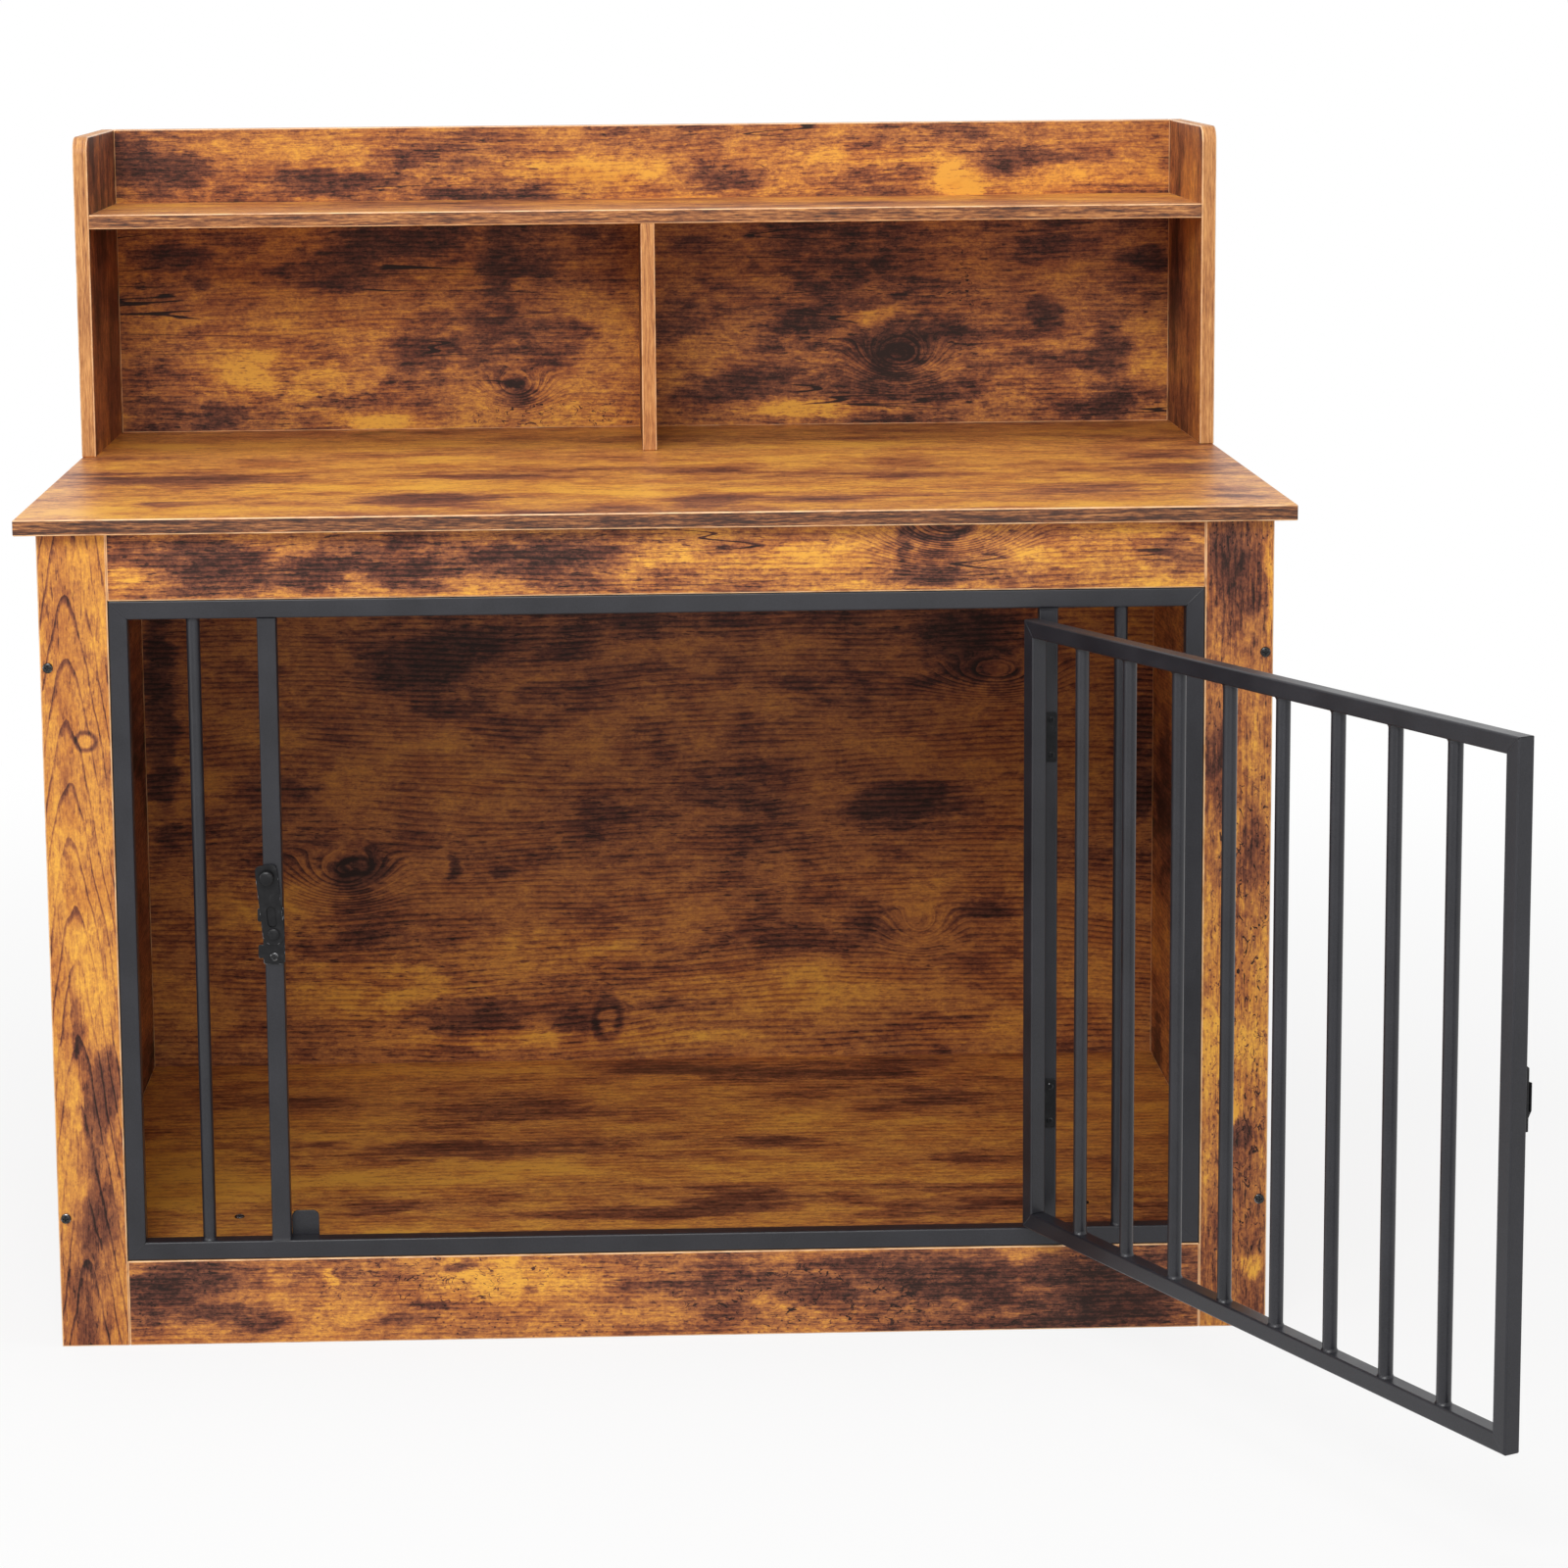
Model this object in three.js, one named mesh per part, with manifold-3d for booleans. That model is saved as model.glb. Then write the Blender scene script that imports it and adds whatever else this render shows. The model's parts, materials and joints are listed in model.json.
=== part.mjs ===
// Dog crate end table with a hutch. A laminated-board crate carries a table top and an
// open hutch, and its front is a steel grille with a hinged grille door and a swing latch.
//
// Millimetres, +X right, +Y back, +Z up. The origin is on the floor, under the middle of the
// bottom front rail, at half the rail's thickness. The door stands open, the latch is up.

import * as THREE from "three";
import { mergeVertices } from "three/addons/utils/BufferGeometryUtils.js";
import Module from "manifold-3d";

const wasm = await Module();
wasm.setup();

// ---------------------------------------------------------------- driving dimensions

// Boards
const BOARD = 15; // thickness of every board
const ARRIS = 0.8; // chamfer along every board edge

// Table top
const TABLE_W = 1200;
const TABLE_D = 775;
const TABLE_H = 805; // floor to the upper face
const SIDE_OVERHANG = 18.5;
const FRONT_OVERHANG = 20;
const REAR_OVERHANG = 20;

// Crate
const STILE_W = 65;
const TOP_RAIL_H = 65;
const BOTTOM_RAIL_H = 84;
const BACK_INSET = 16; // back panel, in from the rear edges of the side panels
const FLOOR_H = 87.5; // ground to the floor panel's upper face
const FLOOR_FRONT_GAP = 0.5; // floor panel's front edge behind the stop plate
const BATTEN_INSET = 146.5; // middle of each batten from the side panel

// Hutch
const HUTCH_H = 336;
const HUTCH_D = 255;
const SHELF_H = 255; // table top to the shelf's upper face
const HUTCH_CORNER_R = 18; // upper front corner of each hutch side

// Grille: square tube frame, two posts and two round bars
const TUBE = 18;
const TUBE_WALL = 1.2;
const TUBE_R = 1.6; // outer corner of the square tubes
const TUBE_BORE_R = 0.4; // inner corner
const GRILLE_RECESS = 1; // grille face behind the board faces
const SIDE_PANE_W = 121; // clear width between each post and the frame's upright tube
const BAR_D = 12.7;
const BAR_WALL = 1;

// Door: square tube frame and round bars
const DOOR_TUBE = 16;
const DOOR_SIDE_GAP = 3.5; // door to each post
const DOOR_END_GAP = 7.6; // door to the upper and the lower tube
const DOOR_BARS = 8;
const DOOR_BAR_START = 87.2; // door's edge to the middle of the first bar
const DOOR_OPEN_DEG = 117;

// Stop plate behind the lower tube
const STOP_W = 26;
const STOP_RISE = 24; // above the lower tube
const STOP_LAP = 11; // down the tube's rear face
const STOP_T = 2;
const STOP_R = 6; // corner

// Hinges, between the right post and the door
const HINGE_INSET = 116; // middle of each hinge from the door's end
const HINGE_H = 48;
const LEAF_T = 1.6;
const LEAF_W = 16.5; // pin axis to the leaf's free edge
const LEAF_R = 2; // corner
const STRAP_START = 1; // pin axis to the near edge of a knuckle's strap
const KNUCKLE_R = 4.6;
const KNUCKLE_CLEAR = 1; // knuckles in front of the grille face
const PIN_R = 1.9;
const PIN_CAP_R = 2.9;
const PIN_CAP_T = 1.2;
const PIN_OUTSET = 0.5; // pin axis past the post's inner edge
const LEAF_SCREW_R = 3;
const LEAF_SCREW_T = 0.8;
const LEAF_SCREW_X = 11;
const LEAF_SCREW_Z = 17;

// Latch on the left post
const LATCH_H = 404; // floor to the lever's pivot
const LATCH_PLATE_W = 20.5;
const LATCH_PLATE_T = 2.4;
const LATCH_PLATE_UP = 27; // above the pivot
const LATCH_PLATE_DOWN = 29.5; // below the pivot
const LATCH_PLATE_R = 4; // corner
const LUG_REACH = 15; // post's middle to the lugs' tips
const LUG_H = 13;
const LUG_R = 2; // corner
const LUG_UP = 18.5; // middle of the upper lug above the pivot
const LUG_DOWN = 17; // middle of the lower lug below the pivot
const LEVER_W = 21;
const LEVER_T = 1.3;
const LEVER_L = 67; // pivot to the lever's tip
const LEVER_TIP_R = 5;
const LEVER_TILT_DEG = 5.5; // to the left of upright
const SLOT_W = 8;
const SLOT_L = 19.5;
const SLOT_R = 3.9; // corner, nearly half the slot's width
const SLOT_START = 7; // pivot to the slot's near end
const KNOB_R = 7;
const KNOB_H = 8;
const KNOB_DOME = 1.6;
const KNOB_OFFSET = 55.5; // pivot to the knob's middle
const RIVET_R = 2.5;
const RIVET_HEAD_R = 5.8;
const RIVET_HEAD_T = 2.2;
const RIVET_L = 6; // shank behind the grille face
const LATCH_SCREW_DROP = 22; // screw below the pivot

// Keeper on the door's free stile, a plate with an upright lip that is open at the top
const KEEPER_W = 14;
const KEEPER_H = 54.5;
const KEEPER_CHAMFER = 2;
const LIP_T = 1.2;
const LIP_RISE = 13; // lip's upper edge above the lever's pivot
const LIP_SLOPE = 5.7; // height of the slope that carries the lip
const LEDGE_GAP = 0.3; // ledge below the latched lever

// Wood screws
const SCREW_SHANK_R = 2;
const SCREW_L = 38;
const SCREW_TIP = 5;
const SCREW_HEAD_R = 4.9;
const SCREW_HEAD_T = 2.2;
const STILE_SCREW_INSET = 127.5; // from each end of a stile
const FLOOR_SCREW_FRONT = 111; // from the front end of a batten
const FLOOR_SCREW_REAR = 127; // from the rear end of a batten
const HUTCH_SCREW_INSET = 45; // from the front and rear edges of a hutch side

// Latch screw
const SHORT_SCREW_SHANK_R = 1.8;
const SHORT_SCREW_L = 12;
const SHORT_SCREW_TIP = 2;
const SHORT_SCREW_HEAD_R = 4;
const SHORT_SCREW_HEAD_T = 1.8;

// Clearances and facets
const GAP = 0.3; // running fit, screw in its hole, and mitre
const ROUND = 20; // sides of bars, knuckles and discs
const SMALL_ROUND = 14; // sides of screws, holes and pins
const CORNER_STEPS = 3; // facets of a small rounded corner
const BIG_CORNER_STEPS = 8; // facets of a rounded board corner
const LEVER_STEPS = 5; // facets of each arc of the lever
const CUTTER_RUN_OUT = 1; // how far a hole's cutter runs past the surface

// ---------------------------------------------------------------- places worked out from them

const FACE_Y = -BOARD / 2;
const CRATE_W = TABLE_W - 2 * SIDE_OVERHANG;
const CARCASE_H = TABLE_H - BOARD;
const TABLE_FRONT_Y = FACE_Y - FRONT_OVERHANG;
const TABLE_BACK_Y = TABLE_FRONT_Y + TABLE_D;
const PANEL_FRONT_Y = FACE_Y + BOARD;
const PANEL_BACK_Y = TABLE_BACK_Y - REAR_OVERHANG;
const PANEL_INNER_X = CRATE_W / 2 - BOARD;
const BACK_FRONT_Y = PANEL_BACK_Y - BACK_INSET - BOARD;
const STILE_INNER_X = CRATE_W / 2 - STILE_W;
const BATTEN_X = PANEL_INNER_X - BATTEN_INSET;
const HUTCH_FRONT_Y = TABLE_BACK_Y - HUTCH_D;
const HUTCH_TOP = TABLE_H + HUTCH_H;
const SHELF_TOP = TABLE_H + SHELF_H;

const GRILLE_Y = FACE_Y + GRILLE_RECESS;
const GRILLE_LOW = BOTTOM_RAIL_H;
const GRILLE_HIGH = CARCASE_H - TOP_RAIL_H;
const OPENING_LOW = GRILLE_LOW + TUBE;
const OPENING_HIGH = GRILLE_HIGH - TUBE;
const POST_OUTER_X = STILE_INNER_X - TUBE - SIDE_PANE_W;
const POST_INNER_X = POST_OUTER_X - TUBE;
const POST_X = (POST_OUTER_X + POST_INNER_X) / 2;
const FIXED_BAR_X = POST_OUTER_X + SIDE_PANE_W / 2;

const DOOR_HALF_W = POST_INNER_X - DOOR_SIDE_GAP;
const DOOR_BAR_PITCH = (2 * (DOOR_HALF_W - DOOR_BAR_START)) / (DOOR_BARS - 1);
const DOOR_LOW = OPENING_LOW + DOOR_END_GAP;
const DOOR_HIGH = OPENING_HIGH - DOOR_END_GAP;
const PIN_PROUD = KNUCKLE_R + KNUCKLE_CLEAR; // pin axis in front of the grille face
const PIN_X = POST_INNER_X + PIN_OUTSET;
const PIN_Y = GRILLE_Y - PIN_PROUD;

// How far each layer of the latch stands in front of the grille face.
const LEVER_BACK = LATCH_PLATE_T + GAP;
const LEVER_FACE = LEVER_BACK + LEVER_T;
const LIP_BACK = LEVER_FACE + GAP;
const LIP_FACE = LIP_BACK + LIP_T;

const RIGHT = new THREE.Vector3(1, 0, 0);
const BACK = new THREE.Vector3(0, 1, 0);
const UP = new THREE.Vector3(0, 0, 1);
const LEFT = RIGHT.clone().negate();
const FRONT = BACK.clone().negate();
const DOWN = UP.clone().negate();

const WOOD = { color: 0xa5652c, roughness: 0.48, metalness: 0 };
const STEEL = { color: 0x3a3b40, roughness: 0.55, metalness: 0.35 };
const BLACK = { color: 0x1c1c1e, roughness: 0.45, metalness: 0.5 };

// ---------------------------------------------------------------- solids

function toSolid(geometry) {
  const bare = geometry.index ? geometry.toNonIndexed() : geometry.clone();
  bare.deleteAttribute("normal");
  bare.deleteAttribute("uv");
  const merged = mergeVertices(bare, 1e-4);
  return new wasm.Manifold(
    new wasm.Mesh({
      numProp: 3,
      vertProperties: merged.attributes.position.array,
      triVerts: new Uint32Array(merged.index.array),
    }),
  );
}

function toGeometry(solid) {
  const mesh = solid.getMesh();
  const indexed = new THREE.BufferGeometry();
  indexed.setAttribute("position", new THREE.BufferAttribute(mesh.vertProperties, 3));
  indexed.setIndex(new THREE.BufferAttribute(mesh.triVerts, 1));
  const geometry = indexed.toNonIndexed();
  geometry.computeVertexNormals();
  return geometry;
}

function joined(first, ...others) {
  return toGeometry(others.reduce((sum, next) => sum.add(toSolid(next)), toSolid(first)));
}

function cut(geometry, cutters) {
  if (cutters.length === 0) return geometry;
  return toGeometry(cutters.reduce((rest, cutter) => rest.subtract(toSolid(cutter)), toSolid(geometry)));
}

// A rectangle with its lowest corner at (x, y) and round corners, drawn counter-clockwise.
function roundedRectangle(path, x, y, width, height, radius) {
  path.moveTo(x + radius, y);
  path.lineTo(x + width - radius, y);
  path.absarc(x + width - radius, y + radius, radius, -Math.PI / 2, 0, false);
  path.lineTo(x + width, y + height - radius);
  path.absarc(x + width - radius, y + height - radius, radius, 0, Math.PI / 2, false);
  path.lineTo(x + radius, y + height);
  path.absarc(x + radius, y + height - radius, radius, Math.PI / 2, Math.PI, false);
  path.lineTo(x, y + radius);
  path.absarc(x + radius, y + radius, radius, Math.PI, 1.5 * Math.PI, false);
  path.closePath();
  return path;
}

function extruded(shape, depth, curveSegments = CORNER_STEPS) {
  return new THREE.ExtrudeGeometry(shape, { depth, curveSegments, bevelEnabled: false, steps: 1 });
}

// Turns an outline drawn in X and Z into a plate between two distances in front of y = 0.
function frontPlate(shape, back, face, curveSegments) {
  return extruded(shape, face - back, curveSegments).translate(0, 0, back).rotateX(Math.PI / 2);
}

function cylinder(radius, length, axis, sides) {
  const turn = new THREE.Quaternion().setFromUnitVectors(BACK, axis);
  return new THREE.CylinderGeometry(radius, radius, length, sides).applyQuaternion(turn);
}

// A turned piece from its (radius, height) points, which start and end on the axis. It stands
// along the axis given, with height 0 at the origin.
function turned(profile, axis, sides) {
  const points = profile.map(([radius, height]) => new THREE.Vector2(radius, height));
  const turn = new THREE.Quaternion().setFromUnitVectors(BACK, axis);
  return new THREE.LatheGeometry(points, sides).applyQuaternion(turn);
}

// The points of a low dome from its rim to the axis.
function dome(radius, base, rise, steps = 3) {
  return Array.from({ length: steps + 1 }, (_, i) => {
    const angle = (i / steps) * (Math.PI / 2);
    return [i === steps ? 0 : radius * Math.cos(angle), base + rise * Math.sin(angle)];
  });
}

function meshOf(name, geometry, look) {
  const mesh = new THREE.Mesh(geometry, new THREE.MeshStandardMaterial(look));
  mesh.name = name;
  return mesh;
}

// ---------------------------------------------------------------- screws

// A pan-head screw whose head sits at height 0, its shank running the other way.
function screwGeometry({ shank, length, tip, headR, headT, axis }) {
  const profile = [[0, -length], [shank, tip - length], [shank, 0], [headR, 0]];
  return turned([...profile, ...dome(headR, headT / 3, (headT * 2) / 3)], axis, SMALL_ROUND);
}

const woodScrew = {
  shank: SCREW_SHANK_R,
  length: SCREW_L,
  tip: SCREW_TIP,
  headR: SCREW_HEAD_R,
  headT: SCREW_HEAD_T,
};

const shortScrew = {
  shank: SHORT_SCREW_SHANK_R,
  length: SHORT_SCREW_L,
  tip: SHORT_SCREW_TIP,
  headR: SHORT_SCREW_HEAD_R,
  headT: SHORT_SCREW_HEAD_T,
};

// The hole that a screw needs in everything it passes through.
function holeFor({ at, axis, kind }) {
  const length = kind.length + GAP + CUTTER_RUN_OUT;
  const middle = CUTTER_RUN_OUT - length / 2;
  const hole = cylinder(kind.shank + GAP, length, axis, SMALL_ROUND);
  return hole.translate(...at.clone().addScaledVector(axis, middle).toArray());
}

function screwMesh(screw) {
  const mesh = meshOf(screw.name, screwGeometry({ ...screw.kind, axis: screw.axis }), BLACK);
  mesh.position.copy(screw.at);
  return mesh;
}

function screwAt(name, x, y, z, axis, kind = woodScrew) {
  return { name, at: new THREE.Vector3(x, y, z), axis, kind };
}

const SIDES = [
  { side: "left", sign: -1 },
  { side: "right", sign: 1 },
];

// Through a stile into the front edge of the side panel behind it.
const stileScrews = SIDES.map(({ side, sign }) => {
  const x = sign * (CRATE_W / 2 - BOARD / 2);
  return [
    screwAt(`${side}_stile_screw_lower`, x, FACE_Y, STILE_SCREW_INSET, FRONT),
    screwAt(`${side}_stile_screw_upper`, x, FACE_Y, CARCASE_H - STILE_SCREW_INSET, FRONT),
  ];
});

// Through the floor panel into the batten below it.
const floorScrews = SIDES.map(({ side, sign }) => {
  const x = sign * BATTEN_X;
  return [
    screwAt(`${side}_floor_screw_front`, x, PANEL_FRONT_Y + FLOOR_SCREW_FRONT, FLOOR_H, UP),
    screwAt(`${side}_floor_screw_rear`, x, BACK_FRONT_Y - FLOOR_SCREW_REAR, FLOOR_H, UP),
  ];
});

// Up through the table top's overhang into the lower edge of the hutch side.
const hutchScrews = SIDES.map(({ side, sign }) => {
  const x = sign * (TABLE_W / 2 - BOARD / 2);
  return [
    screwAt(`${side}_hutch_screw_front`, x, HUTCH_FRONT_Y + HUTCH_SCREW_INSET, CARCASE_H, DOWN),
    screwAt(`${side}_hutch_screw_rear`, x, TABLE_BACK_Y - HUTCH_SCREW_INSET, CARCASE_H, DOWN),
  ];
});

// ---------------------------------------------------------------- boards

// A board between two corners: a rectangle with chamfered corners, chamfered again at both ends.
function boardGeometry(low, high) {
  const size = high.clone().sub(low);
  const { x: w, y: d, z: h } = size;
  const a = ARRIS;
  const corners = [[a, 0], [w - a, 0], [w, a], [w, d - a], [w - a, d], [a, d], [0, d - a], [0, a]];
  const outline = new THREE.Shape(corners.map(([x, y]) => new THREE.Vector2(x, y)));
  const bevel = { bevelEnabled: true, bevelThickness: a, bevelSize: a, bevelOffset: -a, bevelSegments: 1 };
  return new THREE.ExtrudeGeometry(outline, { depth: h - 2 * a, ...bevel }).translate(0, 0, a);
}

function board(name, low, high, screws = []) {
  const corner = new THREE.Vector3(...low);
  const solid = boardGeometry(corner, new THREE.Vector3(...high));
  const holes = screws.map((screw) => holeFor(screw).translate(-corner.x, -corner.y, -corner.z));
  const mesh = meshOf(name, cut(solid, holes), WOOD);
  mesh.position.copy(corner);
  return mesh;
}

// A board that is given for the right side, or its mirror place on the left.
function sideBoard(name, sign, [x0, y0, z0], [x1, y1, z1], screws) {
  const [low, high] = sign > 0 ? [x0, x1] : [-x1, -x0];
  return board(name, [low, y0, z0], [high, y1, z1], screws);
}

function crate() {
  const group = new THREE.Group();
  SIDES.forEach(({ side, sign }, i) => {
    const stile = [[STILE_INNER_X, FACE_Y, 0], [CRATE_W / 2, PANEL_FRONT_Y, CARCASE_H]];
    const panel = [[PANEL_INNER_X, PANEL_FRONT_Y, 0], [CRATE_W / 2, PANEL_BACK_Y, CARCASE_H]];
    const half = BOARD / 2;
    const batten = [[BATTEN_X - half, PANEL_FRONT_Y, 0], [BATTEN_X + half, BACK_FRONT_Y, FLOOR_H - BOARD]];
    group.add(sideBoard(`${side}_front_stile`, sign, ...stile, stileScrews[i]));
    group.add(sideBoard(`${side}_side_panel`, sign, ...panel, stileScrews[i]));
    group.add(sideBoard(`${side}_floor_batten`, sign, ...batten, floorScrews[i]));
  });
  const x = STILE_INNER_X;
  group.add(board("top_front_rail", [-x, FACE_Y, GRILLE_HIGH], [x, PANEL_FRONT_Y, CARCASE_H]));
  group.add(board("bottom_front_rail", [-x, FACE_Y, 0], [x, PANEL_FRONT_Y, BOTTOM_RAIL_H]));
  const wide = PANEL_INNER_X;
  group.add(board("back_panel", [-wide, BACK_FRONT_Y, 0], [wide, BACK_FRONT_Y + BOARD, CARCASE_H]));
  const floorFront = GRILLE_Y + TUBE + STOP_T + FLOOR_FRONT_GAP;
  const floorLow = [-wide, floorFront, FLOOR_H - BOARD];
  group.add(board("floor_panel", floorLow, [wide, BACK_FRONT_Y, FLOOR_H], floorScrews.flat()));
  [...stileScrews.flat(), ...floorScrews.flat()].forEach((screw) => group.add(screwMesh(screw)));
  return group;
}

// A hutch side: its profile in Y and Z, with the upper front corner rounded, carried across the
// board's thickness.
function hutchSide(name, sign, screws) {
  const outline = new THREE.Shape();
  const r = HUTCH_CORNER_R;
  outline.moveTo(0, 0);
  outline.lineTo(HUTCH_D, 0);
  outline.lineTo(HUTCH_D, HUTCH_H);
  outline.lineTo(r, HUTCH_H);
  outline.absarc(r, HUTCH_H - r, r, Math.PI / 2, Math.PI, false);
  outline.closePath();
  const a = ARRIS;
  const bevel = { bevelEnabled: true, bevelThickness: a, bevelSize: a, bevelOffset: -a, bevelSegments: 1 };
  const depth = BOARD - 2 * a;
  const slab = new THREE.ExtrudeGeometry(outline, { depth, curveSegments: BIG_CORNER_STEPS, ...bevel });
  slab.translate(0, 0, a).applyMatrix4(new THREE.Matrix4().makeBasis(BACK, UP, RIGHT));
  const x = sign > 0 ? TABLE_W / 2 - BOARD : -TABLE_W / 2;
  const holes = screws.map((screw) => holeFor(screw).translate(-x, -HUTCH_FRONT_Y, -TABLE_H));
  const mesh = meshOf(name, cut(slab, holes), WOOD);
  mesh.position.set(x, HUTCH_FRONT_Y, TABLE_H);
  return mesh;
}

function tableAndHutch() {
  const group = new THREE.Group();
  const half = TABLE_W / 2;
  const topLow = [-half, TABLE_FRONT_Y, CARCASE_H];
  group.add(board("table_top", topLow, [half, TABLE_BACK_Y, TABLE_H], hutchScrews.flat()));
  SIDES.forEach(({ side, sign }, i) => group.add(hutchSide(`hutch_${side}_side`, sign, hutchScrews[i])));
  const x = half - BOARD;
  const backFront = TABLE_BACK_Y - BOARD;
  group.add(board("hutch_back_panel", [-x, backFront, TABLE_H], [x, TABLE_BACK_Y, HUTCH_TOP]));
  const shelfLow = [-x, HUTCH_FRONT_Y, SHELF_TOP - BOARD];
  group.add(board("hutch_shelf", shelfLow, [x, backFront, SHELF_TOP]));
  const dividerLow = [-BOARD / 2, HUTCH_FRONT_Y, TABLE_H];
  group.add(board("hutch_divider", dividerLow, [BOARD / 2, backFront, SHELF_TOP - BOARD]));
  hutchScrews.flat().forEach((screw) => group.add(screwMesh(screw)));
  return group;
}

// ---------------------------------------------------------------- tubes, bars and frames

// A square tube along +Z. Its outer face lies on x = 0 and its depth runs along +Y. With a mitre
// both ends slope inwards at 45 degrees, so the side at x = 0 is the longest.
function squareTube(size, length, mitred) {
  const outline = roundedRectangle(new THREE.Shape(), 0, 0, size, size, TUBE_R);
  const bore = size - 2 * TUBE_WALL;
  outline.holes.push(roundedRectangle(new THREE.Path(), TUBE_WALL, TUBE_WALL, bore, bore, TUBE_BORE_R));
  const geometry = extruded(outline, length);
  if (!mitred) return geometry;
  const back = GAP * Math.SQRT1_2;
  const position = geometry.attributes.position;
  for (let i = 0; i < position.count; i++) {
    const inwards = position.getX(i) + back;
    const atStart = position.getZ(i) < length / 2;
    position.setZ(i, atStart ? inwards : length - inwards);
  }
  geometry.computeVertexNormals();
  return geometry;
}

// Four mitred tubes round a rectangle that stands in X and Z, its lower left outer corner at
// the origin and its depth along +Y.
function tubeFrame(names, size, width, height) {
  const sides = [
    { name: names.left, inwards: RIGHT, along: UP, length: height, at: [0, 0, 0] },
    { name: names.top, inwards: DOWN, along: RIGHT, length: width, at: [0, 0, height] },
    { name: names.right, inwards: LEFT, along: DOWN, length: height, at: [width, 0, height] },
    { name: names.bottom, inwards: UP, along: LEFT, length: width, at: [width, 0, 0] },
  ];
  return sides.map(({ name, inwards, along, length, at }) => {
    const mesh = meshOf(name, squareTube(size, length, true), STEEL);
    mesh.quaternion.setFromRotationMatrix(new THREE.Matrix4().makeBasis(inwards, BACK, along));
    mesh.position.set(...at);
    return mesh;
  });
}

// An open round tube that stands from one height to another.
function roundBar(name, x, y, low, high) {
  const ring = new THREE.Shape().absarc(0, 0, BAR_D / 2, 0, 2 * Math.PI, false);
  ring.holes.push(new THREE.Path().absarc(0, 0, BAR_D / 2 - BAR_WALL, 0, 2 * Math.PI, false));
  const mesh = meshOf(name, extruded(ring, high - low, ROUND / 2), STEEL);
  mesh.position.set(x, y, low);
  return mesh;
}

const latchRivet = { at: new THREE.Vector3(-POST_X, GRILLE_Y, LATCH_H), radius: RIVET_R };
const latchScrew = screwAt(
  "latch_screw",
  -POST_X,
  GRILLE_Y - LATCH_PLATE_T,
  LATCH_H - LATCH_SCREW_DROP,
  FRONT,
  shortScrew,
);

// The rivet's hole, through the latch plate and the front wall of the post.
function rivetHole() {
  const hole = cylinder(latchRivet.radius + GAP, 2 * (RIVET_L + GAP), FRONT, SMALL_ROUND);
  return hole.translate(...latchRivet.at.toArray());
}

function post(name, sign, holes) {
  const x = sign * POST_X - TUBE / 2;
  const tube = squareTube(TUBE, OPENING_HIGH - OPENING_LOW, false);
  const local = holes.map((hole) => hole.translate(-x, -GRILLE_Y, -OPENING_LOW));
  const mesh = meshOf(name, cut(tube, local), STEEL);
  mesh.position.set(x, GRILLE_Y, OPENING_LOW);
  return mesh;
}

function grille() {
  const group = new THREE.Group();
  const names = {
    left: "grille_left_tube",
    top: "grille_top_tube",
    right: "grille_right_tube",
    bottom: "grille_bottom_tube",
  };
  const frame = new THREE.Group();
  frame.position.set(-STILE_INNER_X, GRILLE_Y, GRILLE_LOW);
  frame.add(...tubeFrame(names, TUBE, 2 * STILE_INNER_X, GRILLE_HIGH - GRILLE_LOW));
  group.add(frame);
  group.add(post("latch_post", -1, [rivetHole(), holeFor(latchScrew)]));
  group.add(post("hinge_post", 1, []));
  const middle = GRILLE_Y + TUBE / 2;
  SIDES.forEach(({ side, sign }) => {
    group.add(roundBar(`${side}_fixed_bar`, sign * FIXED_BAR_X, middle, OPENING_LOW, OPENING_HIGH));
  });
  return group;
}

// The plate behind the lower tube that the closed door's free stile comes to rest near.
function stopPlate() {
  const height = STOP_LAP + STOP_RISE;
  const outline = roundedRectangle(new THREE.Shape(), 0, 0, STOP_W, height, STOP_R);
  const mesh = meshOf("door_stop_plate", frontPlate(outline, -STOP_T, 0), STEEL);
  mesh.position.set(-POST_INNER_X, GRILLE_Y + TUBE, OPENING_LOW - STOP_LAP);
  return mesh;
}

// ---------------------------------------------------------------- hinges

// A leaf to the right of the pin axis, which runs through the origin. The knuckles given as
// [low, high] heights belong to this leaf, and a strap joins each to the plate. The heads of
// the leaf's own screws are part of it.
function leafGeometry(knuckles) {
  const plateStart = KNUCKLE_R + GAP;
  const plateShape = roundedRectangle(
    new THREE.Shape(), plateStart, -HINGE_H / 2, LEAF_W - plateStart, HINGE_H, LEAF_R,
  );
  const pieces = [frontPlate(plateShape, -PIN_PROUD, LEAF_T - PIN_PROUD)];
  for (const [low, high] of knuckles) {
    const height = high - low;
    const middle = (low + high) / 2;
    pieces.push(cylinder(KNUCKLE_R, height, UP, ROUND).translate(0, 0, middle));
    const strapW = plateStart + LEAF_T - STRAP_START;
    const strap = new THREE.BoxGeometry(strapW, LEAF_T, height);
    pieces.push(strap.translate(STRAP_START + strapW / 2, PIN_PROUD - GAP - LEAF_T / 2, middle));
  }
  for (const z of [-LEAF_SCREW_Z, LEAF_SCREW_Z]) {
    const profile = [[0, -GAP], [LEAF_SCREW_R, -GAP], ...dome(LEAF_SCREW_R, 0, LEAF_SCREW_T)];
    const head = turned(profile, FRONT, SMALL_ROUND);
    pieces.push(head.translate(LEAF_SCREW_X, PIN_PROUD - LEAF_T, z));
  }
  const bore = cylinder(PIN_R + GAP, HINGE_H + 2 * CUTTER_RUN_OUT, UP, SMALL_ROUND);
  return cut(joined(...pieces), [bore]);
}

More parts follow.
